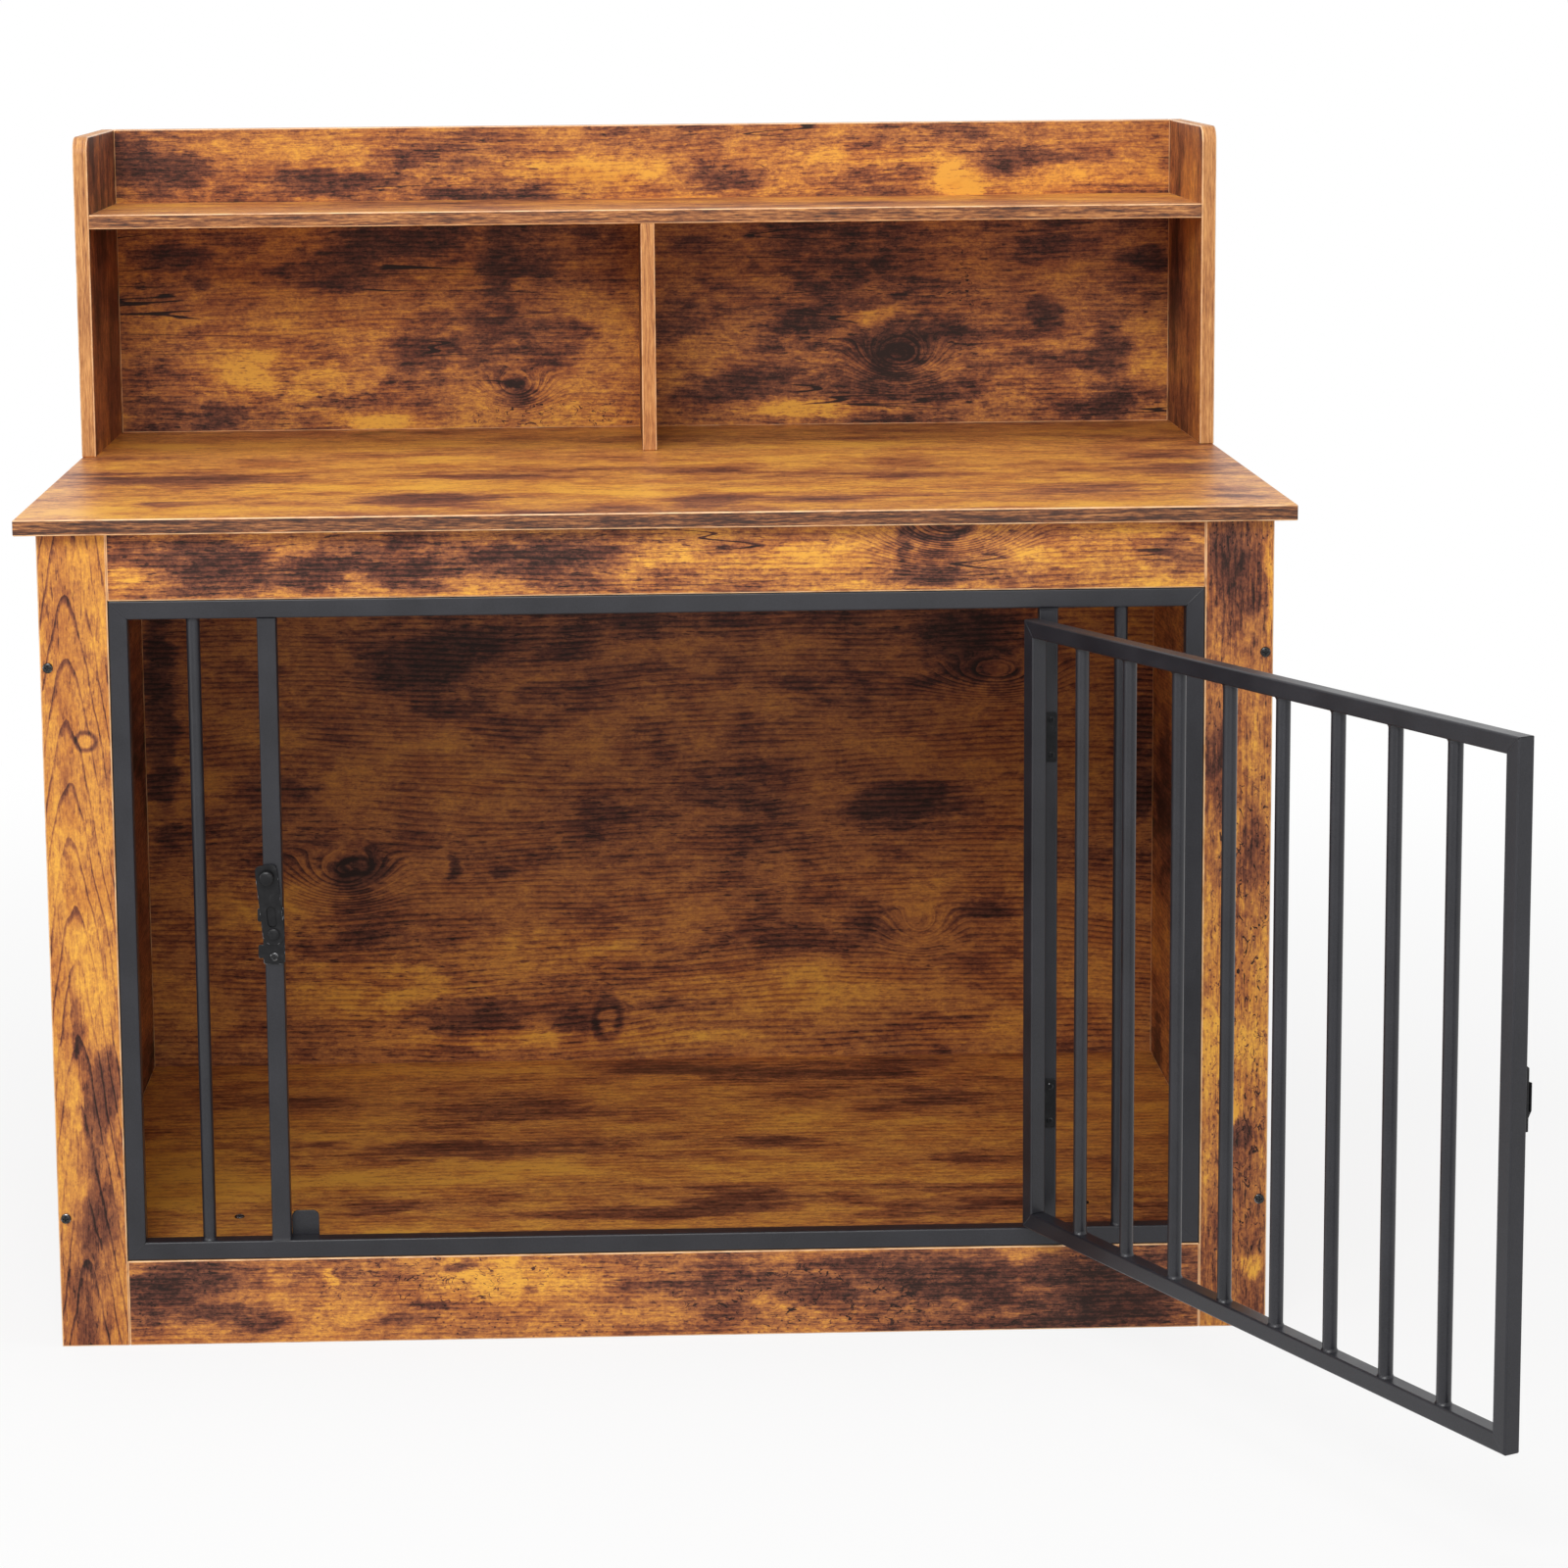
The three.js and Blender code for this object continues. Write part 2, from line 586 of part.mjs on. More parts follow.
const KNUCKLE_EDGE = HINGE_H / 6; // the door leaf's knuckle takes the middle third
const POST_KNUCKLES = [
  [-HINGE_H / 2, -KNUCKLE_EDGE - GAP / 2],
  [KNUCKLE_EDGE + GAP / 2, HINGE_H / 2],
];
const DOOR_KNUCKLES = [[GAP / 2 - KNUCKLE_EDGE, KNUCKLE_EDGE - GAP / 2]];
const HINGES = [
  { level: "lower", z: DOOR_LOW + HINGE_INSET },
  { level: "upper", z: DOOR_HIGH - HINGE_INSET },
];

function hingePin(name, z) {
  const half = HINGE_H / 2;
  const profile = [
    ...dome(PIN_CAP_R, half, PIN_CAP_T).map(([r, h]) => [r, -h]).reverse(),
    [PIN_R, -half],
    [PIN_R, half],
    ...dome(PIN_CAP_R, half, PIN_CAP_T),
  ];
  const mesh = meshOf(name, turned(profile, UP, SMALL_ROUND), BLACK);
  mesh.position.set(PIN_X, PIN_Y, z);
  return mesh;
}

function fixedHingeHalves() {
  const group = new THREE.Group();
  for (const { level, z } of HINGES) {
    const leaf = meshOf(`${level}_hinge_post_leaf`, leafGeometry(POST_KNUCKLES), BLACK);
    leaf.position.set(PIN_X, PIN_Y, z);
    group.add(leaf, hingePin(`${level}_hinge_pin`, z));
  }
  return group;
}

// The door's leaf lies to the left of the pin when the door is closed: the same leaf, turned
// half round the Y axis.
function doorLeaves() {
  return HINGES.map(({ level, z }) => {
    const leaf = meshOf(`${level}_hinge_door_leaf`, leafGeometry(DOOR_KNUCKLES), BLACK);
    leaf.rotation.y = Math.PI;
    leaf.position.set(0, 0, z);
    return leaf;
  });
}

// ---------------------------------------------------------------- door

// The keeper's side profile, with x how far it stands out and y the height above the pivot.
function keeper() {
  const half = KEEPER_H / 2;
  const ledge = -LEVER_W / 2 - LEDGE_GAP;
  const slopeTop = ledge + LIP_T / 2;
  const outline = new THREE.Shape();
  outline.moveTo(0, -half);
  outline.lineTo(LATCH_PLATE_T, -half);
  outline.lineTo(LATCH_PLATE_T, slopeTop - LIP_SLOPE);
  outline.lineTo(LIP_FACE, slopeTop);
  outline.lineTo(LIP_FACE, LIP_RISE);
  outline.lineTo(LIP_BACK, LIP_RISE);
  outline.lineTo(LIP_BACK, ledge);
  outline.lineTo(LATCH_PLATE_T, ledge);
  outline.lineTo(LATCH_PLATE_T, half - KEEPER_CHAMFER);
  outline.lineTo(0, half);
  outline.closePath();
  const turn = new THREE.Matrix4().makeBasis(FRONT, UP, LEFT);
  const mesh = meshOf("door_keeper", extruded(outline, KEEPER_W).applyMatrix4(turn), BLACK);
  const stileMiddle = -DOOR_HALF_W + DOOR_TUBE / 2;
  mesh.position.set(stileMiddle + KEEPER_W / 2, GRILLE_Y, LATCH_H);
  return mesh;
}

// The door in its closed place, hung in a group that turns about the pin axis.
function door() {
  const closed = new THREE.Group();
  const names = {
    left: "door_latch_stile",
    top: "door_top_tube",
    right: "door_hinge_stile",
    bottom: "door_bottom_tube",
  };
  const frame = new THREE.Group();
  frame.position.set(-DOOR_HALF_W, GRILLE_Y, DOOR_LOW);
  frame.add(...tubeFrame(names, DOOR_TUBE, 2 * DOOR_HALF_W, DOOR_HIGH - DOOR_LOW));
  closed.add(frame);
  for (let i = 0; i < DOOR_BARS; i++) {
    const x = DOOR_BAR_PITCH * ((DOOR_BARS - 1) / 2 - i);
    const y = GRILLE_Y + DOOR_TUBE / 2;
    closed.add(roundBar(`door_bar_${i + 1}`, x, y, DOOR_LOW + DOOR_TUBE, DOOR_HIGH - DOOR_TUBE));
  }
  closed.add(keeper());
  closed.position.set(-PIN_X, -PIN_Y, 0);
  const swing = new THREE.Group();
  swing.add(closed, ...doorLeaves());
  swing.position.set(PIN_X, PIN_Y, 0);
  swing.rotation.z = THREE.MathUtils.degToRad(DOOR_OPEN_DEG);
  return swing;
}

// ---------------------------------------------------------------- latch

function latchPlate() {
  const height = LATCH_PLATE_UP + LATCH_PLATE_DOWN;
  const outline = roundedRectangle(
    new THREE.Shape(), -LATCH_PLATE_W / 2, -LATCH_PLATE_DOWN, LATCH_PLATE_W, height, LATCH_PLATE_R,
  );
  const lugs = [LUG_UP, -LUG_DOWN].map((middle) =>
    roundedRectangle(new THREE.Shape(), -LUG_REACH, middle - LUG_H / 2, LUG_REACH, LUG_H, LUG_R),
  );
  const plate = joined(...[outline, ...lugs].map((shape) => frontPlate(shape, 0, LATCH_PLATE_T)));
  const { x, y, z } = latchRivet.at;
  const holes = [rivetHole(), holeFor(latchScrew)].map((hole) => hole.translate(-x, -y, -z));
  const mesh = meshOf("latch_plate", cut(plate, holes), BLACK);
  mesh.position.copy(latchRivet.at);
  return mesh;
}

// The rivet: a shank that ends inside the post, and a domed head in front of the lever.
function rivet() {
  const seat = LEVER_FACE + GAP;
  const profile = [[0, -RIVET_L], [RIVET_R, -RIVET_L], [RIVET_R, seat], [RIVET_HEAD_R, seat]];
  const head = dome(RIVET_HEAD_R, seat + RIVET_HEAD_T / 3, (2 * RIVET_HEAD_T) / 3);
  const mesh = meshOf("latch_rivet", turned([...profile, ...head], FRONT, ROUND), BLACK);
  mesh.position.copy(latchRivet.at);
  return mesh;
}

// The lever's outline: half round about the pivot, straight up, and rounded at the tip.
function leverGeometry() {
  const half = LEVER_W / 2;
  const r = LEVER_TIP_R;
  const outline = new THREE.Shape();
  outline.moveTo(half, 0);
  outline.lineTo(half, LEVER_L - r);
  outline.absarc(half - r, LEVER_L - r, r, 0, Math.PI / 2, false);
  outline.lineTo(r - half, LEVER_L);
  outline.absarc(r - half, LEVER_L - r, r, Math.PI / 2, Math.PI, false);
  outline.lineTo(-half, 0);
  outline.absarc(0, 0, half, Math.PI, 2 * Math.PI, false);
  outline.holes.push(
    roundedRectangle(new THREE.Path(), -SLOT_W / 2, SLOT_START, SLOT_W, SLOT_L, SLOT_R),
  );
  const pivot = new THREE.Path().absarc(0, 0, RIVET_R + GAP, 0, 2 * Math.PI, false);
  outline.holes.push(pivot);
  const plate = frontPlate(outline, LEVER_BACK, LEVER_FACE, LEVER_STEPS);
  const foot = LEVER_FACE - LEVER_T / 2;
  const rim = LEVER_FACE + KNOB_H - KNOB_DOME;
  const knob = turned([[0, foot], [KNOB_R, foot], ...dome(KNOB_R, rim, KNOB_DOME)], FRONT, ROUND);
  return joined(plate, knob.translate(0, 0, KNOB_OFFSET));
}

function lever() {
  const mesh = meshOf("latch_lever", leverGeometry(), BLACK);
  mesh.position.copy(latchRivet.at);
  mesh.rotation.y = -THREE.MathUtils.degToRad(LEVER_TILT_DEG);
  return mesh;
}

// ---------------------------------------------------------------- the whole piece

const endTable = new THREE.Group();
endTable.add(crate(), tableAndHutch(), grille(), stopPlate(), fixedHingeHalves(), door());
endTable.add(latchPlate(), rivet(), screwMesh(latchScrew), lever());

export default endTable;
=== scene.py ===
import json
import math

import bpy
import numpy as np
from mathutils import Matrix, Vector

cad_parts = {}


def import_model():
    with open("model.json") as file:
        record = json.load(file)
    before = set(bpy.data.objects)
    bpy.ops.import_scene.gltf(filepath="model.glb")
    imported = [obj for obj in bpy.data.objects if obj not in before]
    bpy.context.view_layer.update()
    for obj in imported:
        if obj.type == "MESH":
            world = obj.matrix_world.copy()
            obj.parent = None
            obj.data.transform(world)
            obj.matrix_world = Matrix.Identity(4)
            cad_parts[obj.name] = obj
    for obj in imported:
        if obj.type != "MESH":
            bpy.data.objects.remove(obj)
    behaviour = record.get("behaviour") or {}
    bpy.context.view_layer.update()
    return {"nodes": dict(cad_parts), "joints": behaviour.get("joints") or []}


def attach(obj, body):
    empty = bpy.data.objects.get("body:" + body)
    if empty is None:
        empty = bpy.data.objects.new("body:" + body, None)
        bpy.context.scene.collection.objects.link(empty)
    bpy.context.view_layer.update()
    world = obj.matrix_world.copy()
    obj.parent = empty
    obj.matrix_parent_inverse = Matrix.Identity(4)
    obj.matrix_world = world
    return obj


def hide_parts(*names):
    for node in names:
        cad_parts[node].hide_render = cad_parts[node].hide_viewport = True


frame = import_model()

# Dog crate end table with a hutch: laminated boards, a coated steel grille with a hinged door,
# and a blackened swing latch. Metres, +X right, +Y back, +Z up. Places come from the CAD
# frame; the door is drawn shut and then swung open about its hinge pins.

MM = 0.001
X, Y, Z = 0, 1, 2
RIGHT, BACK, UP = np.eye(3)

# Boards
BOARD_ARRIS = 1.2 * MM
BOARD_CORNER = 1.3 * MM
HUTCH_CORNER = 18 * MM
RIM_STEPS = 4
CORNER_STEPS = 10

# Tubes and bars
TUBE_CORNER = 1.8 * MM
TUBE_STEPS = 5
MITRE_GAP = 0.12 * MM
DOOR_BARS = 8
BAR_R = 6.35 * MM
BAR_WELD = 1.2 * MM  # how much a bar's foot widens at its weld
POST_WELD = 0.6 * MM
WELD_H = 3.0 * MM
SEAM_W = 1.5 * MM
SEAM_H = 0.3 * MM
SEAM_TRIM = 1.0 * MM  # how far a mitre's bead stops short of the corners
STOP_CORNER = 6 * MM
STOP_ARRIS = 0.4 * MM

# Screws: the head's radius and height, the shank's radius and length
CASE_SCREW = (4.9 * MM, 2.2 * MM, 2.0 * MM, 37 * MM)
LATCH_SCREW = (4.0 * MM, 1.8 * MM, 1.8 * MM, 12 * MM)
LEAF_SCREW = (3.0 * MM, 0.8 * MM, 1.2 * MM, 1.5 * MM)
THREAD_PITCH = 1.6 * MM

# Hinges
PIN_PROUD = 5.6 * MM  # pin axis in front of the leaf's seat
LEAF_T = 1.6 * MM
LEAF_H = 48 * MM
LEAF_START = 4.9 * MM
LEAF_END = 16.5 * MM
LEAF_CORNER = 2 * MM
LEAF_ARRIS = 0.3 * MM
KNUCKLE_R = 4.6 * MM
KNUCKLE_ARRIS = 0.4 * MM
KNUCKLE_GAP = 0.3 * MM
STRAP_START = 1 * MM
STRAP_CORNER = 0.3 * MM
STRAP_ARRIS = 0.2 * MM
PIN_R = 1.9 * MM
PIN_CAP_R = 2.9 * MM
PIN_CAP_H = 1.2 * MM
LEAF_SCREW_X = 11 * MM
LEAF_SCREW_Z = 17 * MM

# Latch. The plate's corners run round from its lower left, in millimetres from the pivot.
PLATE_T = 2.4 * MM
PLATE_ARRIS = 0.35 * MM
PLATE_CORNERS = [(-10.25, -29.5), (10.25, -29.5), (10.25, 27), (-10.25, 27), (-10.25, 25),
                 (-15, 25), (-15, 12), (-10.25, 12), (-10.25, -10.5), (-15, -10.5),
                 (-15, -23.5), (-10.25, -23.5)]
PLATE_RADII = [3, 4, 4, 1, 0.5, 2, 2, 1, 1, 2, 2, 0.8]
LEVER_TILT = math.radians(-5.5)
LEVER_BACK = 2.7 * MM
LEVER_FACE = 4.0 * MM
LEVER_ARRIS = 0.3 * MM
LEVER_HALF = 10.5 * MM  # half its width
LEVER_FOOT = 0.999 * LEVER_HALF  # corner radius of its foot, just short of a half circle
LEVER_TOP = 67 * MM
LEVER_TIP = 5 * MM  # corner radius of its free end
SLOT_LOW = (-4 * MM, 7 * MM)
SLOT_HIGH = (4 * MM, 26.5 * MM)
SLOT_CORNER = 3.9 * MM
KNOB_R = 7 * MM
KNOB_H = 6.4 * MM
KNOB_Z = 55.5 * MM
RIVET_R = 2.5 * MM
RIVET_DEPTH = 6 * MM
RIVET_HEAD_R = 5.8 * MM
LATCH_SCREW_DROP = 22 * MM
LIP_BACK = 4.3 * MM
LIP_FACE = 5.5 * MM
LIP_TOP = 13 * MM
LEDGE_Z = -10.8 * MM


# ---- surfaces

POLE_SHARE = 0.12  # a dome's last radius, as a share of its first


def fillets(corners, radii, steps=4):
    """A closed outline with rounded corners, and its outward normals.

    Each corner is an arc. With s the sign of its turn, n(a) the first side's outward normal
    turned by a, and C the arc's centre, a point of it is C + s r n(a), with a from 0 to the
    whole turn."""
    corners = np.asarray(corners, float)
    radii = np.broadcast_to(radii, len(corners)).astype(float)[:, None]
    into = corners - np.roll(corners, 1, 0)
    into /= np.linalg.norm(into, axis=1, keepdims=True)
    out = np.roll(into, -1, 0)
    cross = into[:, 0] * out[:, 1] - into[:, 1] * out[:, 0]
    turn = np.arctan2(cross, (into * out).sum(1))[:, None]
    sign = np.sign(turn)
    first = np.stack([into[:, 1], -into[:, 0]], -1)
    centre = corners - into * radii * np.tan(np.abs(turn) / 2) - sign * radii * first
    angle = turn * np.linspace(0, 1, steps + 1)
    cos, sin = np.cos(angle), np.sin(angle)
    normals = np.stack([
        first[:, :1] * cos - first[:, 1:] * sin,
        first[:, :1] * sin + first[:, 1:] * cos,
    ], -1)
    points = centre[:, None] + (sign * radii)[..., None] * normals
    return points.reshape(-1, 2), normals.reshape(-1, 2)


def rectangle(low, high, radii, steps=4):
    """The outline of a rectangle, from its lower left corner, with rounded corners."""
    (x0, y0), (x1, y1) = low, high
    return fillets([(x0, y0), (x1, y0), (x1, y1), (x0, y1)], radii, steps)


def arris_rows(low, high, arris, steps):
    """How far each row of a plate's rim is drawn in, and its height.

    At t from -90 to 0 degrees and on to 90, the row is drawn in by arris (1 - cos t), and
    its height is arris sin t past the point where that edge's rounding starts."""
    t = np.radians(np.r_[np.linspace(-90, 0, steps + 1), np.linspace(0, 90, steps + 1)])
    start = np.r_[np.full(steps + 1, low + arris), np.full(steps + 1, high - arris)]
    return arris * (1 - np.cos(t)), start + arris * np.sin(t)


def stacked(outline, outward, height):
    """Rows of an outline, each moved out along its normals and set at its height."""
    points, normals = outline
    plan = points[None] + outward[:, None, None] * normals[None]
    heights = np.broadcast_to(height[:, None, None], plan.shape[:2] + (1,))
    return np.concatenate([plan, heights], -1)


def plate_rows(outline, low, high, arris, steps=4):
    """The rim of a plate: its outline at each row's height, drawn in along its normals."""
    inset, height = arris_rows(low, high, arris, steps)
    return stacked(outline, -inset, height)


def turned_rows(profile, around=32):
    """A turned surface about +Z: (r cos a, r sin a, h) for each (r, h) of the profile."""
    radius, height = np.asarray(profile, float).T[:, :, None]
    angle = np.linspace(0, 2 * np.pi, around, endpoint=False)[None]
    return np.stack([radius * np.cos(angle), radius * np.sin(angle),
                     height + 0 * angle], -1)


def dome_profile(radius, base, rise, steps=9):
    """A low dome from its rim towards its pole: r = R cos t, h = base + rise sin t. The last
    row leaves a small hole for the pole."""
    t = np.linspace(0, np.arccos(POLE_SHARE), steps)
    return np.stack([radius * np.cos(t), base + rise * np.sin(t)], -1)


def skin(rows, finish=0, ends="flat"):
    """A closed skin over rows of points that each run once round it.

    Neighbouring rows are joined by quads, and `finish` numbers each gap's finish. The end
    rows are closed by one face each ("flat"), by a fan of triangles to their middle ("pole"),
    or by each other ("ring")."""
    count, around = rows.shape[:2]
    points = rows.reshape(-1, 3)
    gaps = count if ends == "ring" else count - 1
    row, column = np.meshgrid(np.arange(gaps), np.arange(around), indexing="ij")
    row2, column2 = (row + 1) % count, (column + 1) % around
    quads = np.stack([row * around + column, row * around + column2,
                      row2 * around + column2, row2 * around + column], -1).reshape(-1, 4)
    finishes = [np.repeat(np.broadcast_to(finish, gaps), around)]
    smooth = [np.ones(len(quads), bool)]
    triangles = [quads[:, [0, 1, 2]], quads[:, [0, 2, 3]]]
    faces = quads.tolist()
    first, last = np.arange(around), (count - 1) * around + np.arange(around)
    if ends == "flat":
        loops = [first[::-1], last]
        faces += [loop.tolist() for loop in loops]
        for loop in loops:
            fan = np.full(around - 2, loop[0])
            triangles.append(np.stack([fan, loop[1:-1], loop[2:]], -1))
        finishes.append(np.zeros(2, int))
        smooth.append(np.zeros(2, bool))
    elif ends == "pole":
        points = np.vstack([points, rows[[0, -1]].mean(1)])
        low, high = np.full(around, count * around), np.full(around, count * around + 1)
        fans = [np.stack([low, np.roll(first, -1), first], -1),
                np.stack([high, last, np.roll(last, -1)], -1)]
        triangles += fans
        faces += np.vstack(fans).tolist()
        finishes.append(np.zeros(2 * around, int))
        smooth.append(np.ones(2 * around, bool))
    corner = points[np.vstack(triangles)]
    volume = np.einsum("ij,ij->", corner[:, 0], np.cross(corner[:, 1], corner[:, 2]))
    if volume < 0:
        faces = [face[::-1] for face in faces]
    return points, faces, np.concatenate(finishes), np.concatenate(smooth)


def moved(shape, place):
    """A skin taken from its own frame to another by a 4 by 4 matrix."""
    points, faces, finishes, smooth = shape
    place = np.asarray(place)
    turned = points @ place[:3, :3].T + place[:3, 3]
    if np.linalg.det(place[:3, :3]) < 0:
        faces = [face[::-1] for face in faces]
    return turned, faces, finishes, smooth


def basis(x_axis, y_axis, z_axis, at=(0, 0, 0)):
    """The matrix whose columns are these three directions and this place."""
    place = np.eye(4)
    place[:3, 0], place[:3, 1], place[:3, 2], place[:3, 3] = x_axis, y_axis, z_axis, at
    return place


def standing(axis, at):
    """The matrix that stands a piece made along +Z on `at`, along another direction."""
    axis = np.asarray(axis, float)
    side = RIGHT if abs(axis[X]) < 0.5 else UP
    third = np.cross(axis, side)
    return basis(np.cross(third, axis), third, axis, at)


def read(items, name, kind, width=1):
    """One property of every vertex, face or loop of a mesh, as an array."""
    values = np.empty(len(items) * width, kind)
    items.foreach_get(name, values)
    return values


def shade(mesh):
    """Sets the normals that a mesh is lit by. A flat face keeps its own. At a corner of a
    smooth face it is the sum over the vertex's smooth faces of area times normal, so that
    wide faces stay flat up to their rounded edges."""
    areas = read(mesh.polygons, "area", float)
    totals = read(mesh.polygons, "loop_total", int)
    smooth = read(mesh.polygons, "use_smooth", bool)
    facing = read(mesh.polygons, "normal", float, 3).reshape(-1, 3)
    corners = read(mesh.loops, "vertex_index", int)
    owner = np.repeat(np.arange(len(totals)), totals)
    summed = np.zeros((len(mesh.vertices), 3))
    np.add.at(summed, corners, (facing * (areas * smooth)[:, None])[owner])
    summed /= np.linalg.norm(summed, axis=1, keepdims=True) + 1e-30
    normals = np.where(smooth[owner][:, None], summed[corners], facing[owner])
    mesh.normals_split_custom_set(normals.tolist())


def piece(name, skins, finishes, body, replaces=(), place=None):
    """Joins skins into one object that rides on a body and stands for CAD nodes."""
    if place is not None:
        skins = [moved(shape, place) for shape in skins]
    starts = np.cumsum([0] + [len(shape[0]) for shape in skins])
    points = np.vstack([shape[0] for shape in skins])
    faces = [[index + int(start) for index in face]
             for shape, start in zip(skins, starts) for face in shape[1]]
    mesh = bpy.data.meshes.new(name)
    mesh.from_pydata(points.tolist(), [], faces)
    mesh.polygons.foreach_set("material_index", np.concatenate([shape[2] for shape in skins]))
    mesh.polygons.foreach_set("use_smooth", np.concatenate([shape[3] for shape in skins]))
    for finish in finishes:
        mesh.materials.append(finish)
    mesh.validate()
    mesh.update()
    shade(mesh)
    made = bpy.data.objects.new(name, mesh)
    bpy.context.scene.collection.objects.link(made)
    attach(made, body)
    if replaces:
        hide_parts(*replaces)
    return made


# ---- places from the frame

joints = {joint["name"]: joint for joint in frame["joints"]}
pin_axis = np.array(joints["door_swing"]["pos_m"])
latch_pivot = np.array(joints["latch_turn"]["pos_m"])
door_angle = -math.radians(joints["door_swing"]["range_deg"][0])

door_open = np.eye(4)
door_open[:2, :2] = [[math.cos(door_angle), -math.sin(door_angle)],
                     [math.sin(door_angle), math.cos(door_angle)]]
door_open[:3, 3] = pin_axis - door_open[:3, :3] @ pin_axis


def box_of(node, place=None):
    """The corners of a CAD node, measured in a frame that `place` takes to the row frame."""
    vertices = frame["nodes"][node].data.vertices
    points = read(vertices, "co", np.float32, 3).reshape(-1, 3).astype(float)
    if place is not None:
        points = (points - place[:3, 3]) @ place[:3, :3]
    return points.min(0), points.max(0)


# ---- finishes

class Signal:
    """One socket of a shader's node tree. Arithmetic on it adds Math nodes."""

    def __init__(self, finish, socket):
        self.finish, self.socket = finish, socket

    def out(self, key):
        return Signal(self.finish, self.socket.node.outputs[key])

    def math(self, operation, *terms):
        return self.finish.node("ShaderNodeMath", {"operation": operation},
                                dict(enumerate(terms)))

    def __add__(self, other):
        return self.math("ADD", self, other)

    __radd__ = __add__

    def __mul__(self, other):
        return self.math("MULTIPLY", self, other)

    __rmul__ = __mul__

    def __sub__(self, other):
        return self.math("SUBTRACT", self, other)

    def __rsub__(self, other):
        return self.math("SUBTRACT", other, self)

    def __abs__(self):
        return self.math("ABSOLUTE", self)

    def root(self):
        return self.math("SQRT", self)

    def fraction(self):
        return self.math("FRACT", self)

    def larger(self, other):
        return self.math("MAXIMUM", self, other)

    def swing(self, weight):
        """How far it lies above one half, times a weight."""
        return (self - 0.5) * weight

    def step(self, start, end, low=0.0, high=1.0):
        """A smooth step from low at `start` to high at `end`."""
        return self.finish.node("ShaderNodeMapRange", {"interpolation_type": "SMOOTHSTEP"}, {
            "Value": self, "From Min": start, "From Max": end, "To Min": low, "To Max": high,
        })


class Finish:
    """A material, or a world, being built. Every node of it comes from `node`."""

    def __init__(self, name, kind="materials"):
        self.made = getattr(bpy.data, kind).new(name)
        self.made.use_nodes = True
        self.tree = self.made.node_tree
        self.tree.nodes.clear()

    def node(self, kind, settings=None, sockets=None):
        """Adds a node of a kind: its settings first, then its sockets' values or links."""
        made = self.tree.nodes.new(kind)
        for name, value in (settings or {}).items():
            if name == "stops":
                elements = made.color_ramp.elements
                elements.remove(elements[1])
                for index, (position, colour) in enumerate(value):
                    stop = elements[0] if index == 0 else elements.new(position)
                    stop.position, stop.color = position, (*colour, 1)
            else:
                setattr(made, name, value)
        for key, value in (sockets or {}).items():
            if isinstance(value, Signal):
                self.tree.links.new(value.socket, made.inputs[key])
            elif made.inputs[key].type == "RGBA":
                made.inputs[key].default_value = (*value, 1)
            else:
                made.inputs[key].default_value = value
        return Signal(self, made.outputs[0]) if made.outputs else None

    def place(self):
        return self.node("ShaderNodeTexCoord").out("Object")

    def axes(self):
        return self.node("ShaderNodeSeparateXYZ", {}, {0: self.place()})

    def vector(self, x, y, z):
        return self.node("ShaderNodeCombineXYZ", {}, {0: x, 1: y, 2: z})

    def scaled(self, vector, scale, shift=(0, 0, 0)):
        """vector * scale + shift."""
        return self.node("ShaderNodeVectorMath", {"operation": "MULTIPLY_ADD"},
                         {0: vector, 1: scale, 2: shift})

    def length(self, vector):
        return self.node("ShaderNodeVectorMath", {"operation": "LENGTH"},
                         {0: vector}).out("Value")

    def noise(self, vector, detail, roughness, distortion=0.0, kind="2D"):
        return self.node("ShaderNodeTexNoise", {"noise_dimensions": kind}, {
            "Vector": vector, "Scale": 1.0, "Detail": detail, "Roughness": roughness,
            "Distortion": distortion,
        })

    def solid_noise(self, cells, detail, roughness):
        """Noise in all three directions, with so many cells to the metre."""
        return self.noise(self.scaled(self.place(), (cells,) * 3), detail, roughness,
                          kind="3D")

    def colours(self, value, stops):
        return self.node("ShaderNodeValToRGB", {"stops": stops}, {0: value})

    def mix(self, factor, a, b, kind="MIX"):
        return self.node("ShaderNodeMix", {"data_type": "RGBA", "blend_type": kind},
                         {0: factor, 6: a, 7: b}).out(2)

    def bump(self, height, distance, strength):
        return self.node("ShaderNodeBump", {}, {
            "Height": height, "Distance": distance, "Strength": strength,
        })

    def surface(self, **sockets):
        """The material's Principled shader, with socket names written with underscores."""
        shader = self.node("ShaderNodeBsdfPrincipled", {}, {
            name.replace("_", " "): value for name, value in sockets.items()
        })
        self.node("ShaderNodeOutputMaterial", {}, {"Surface": shader})
        return self.made


# The print runs from amber through red-brown to near black.
AMBER_TO_BLACK = [
    (0.00, (0.84, 0.425, 0.066)),
    (0.15, (0.68, 0.298, 0.062)),
    (0.32, (0.48, 0.181, 0.055)),
    (0.50, (0.280, 0.099, 0.044)),
    (0.68, (0.140, 0.049, 0.030)),
    (0.84, (0.066, 0.027, 0.019)),
    (1.00, (0.026, 0.013, 0.010)),
]


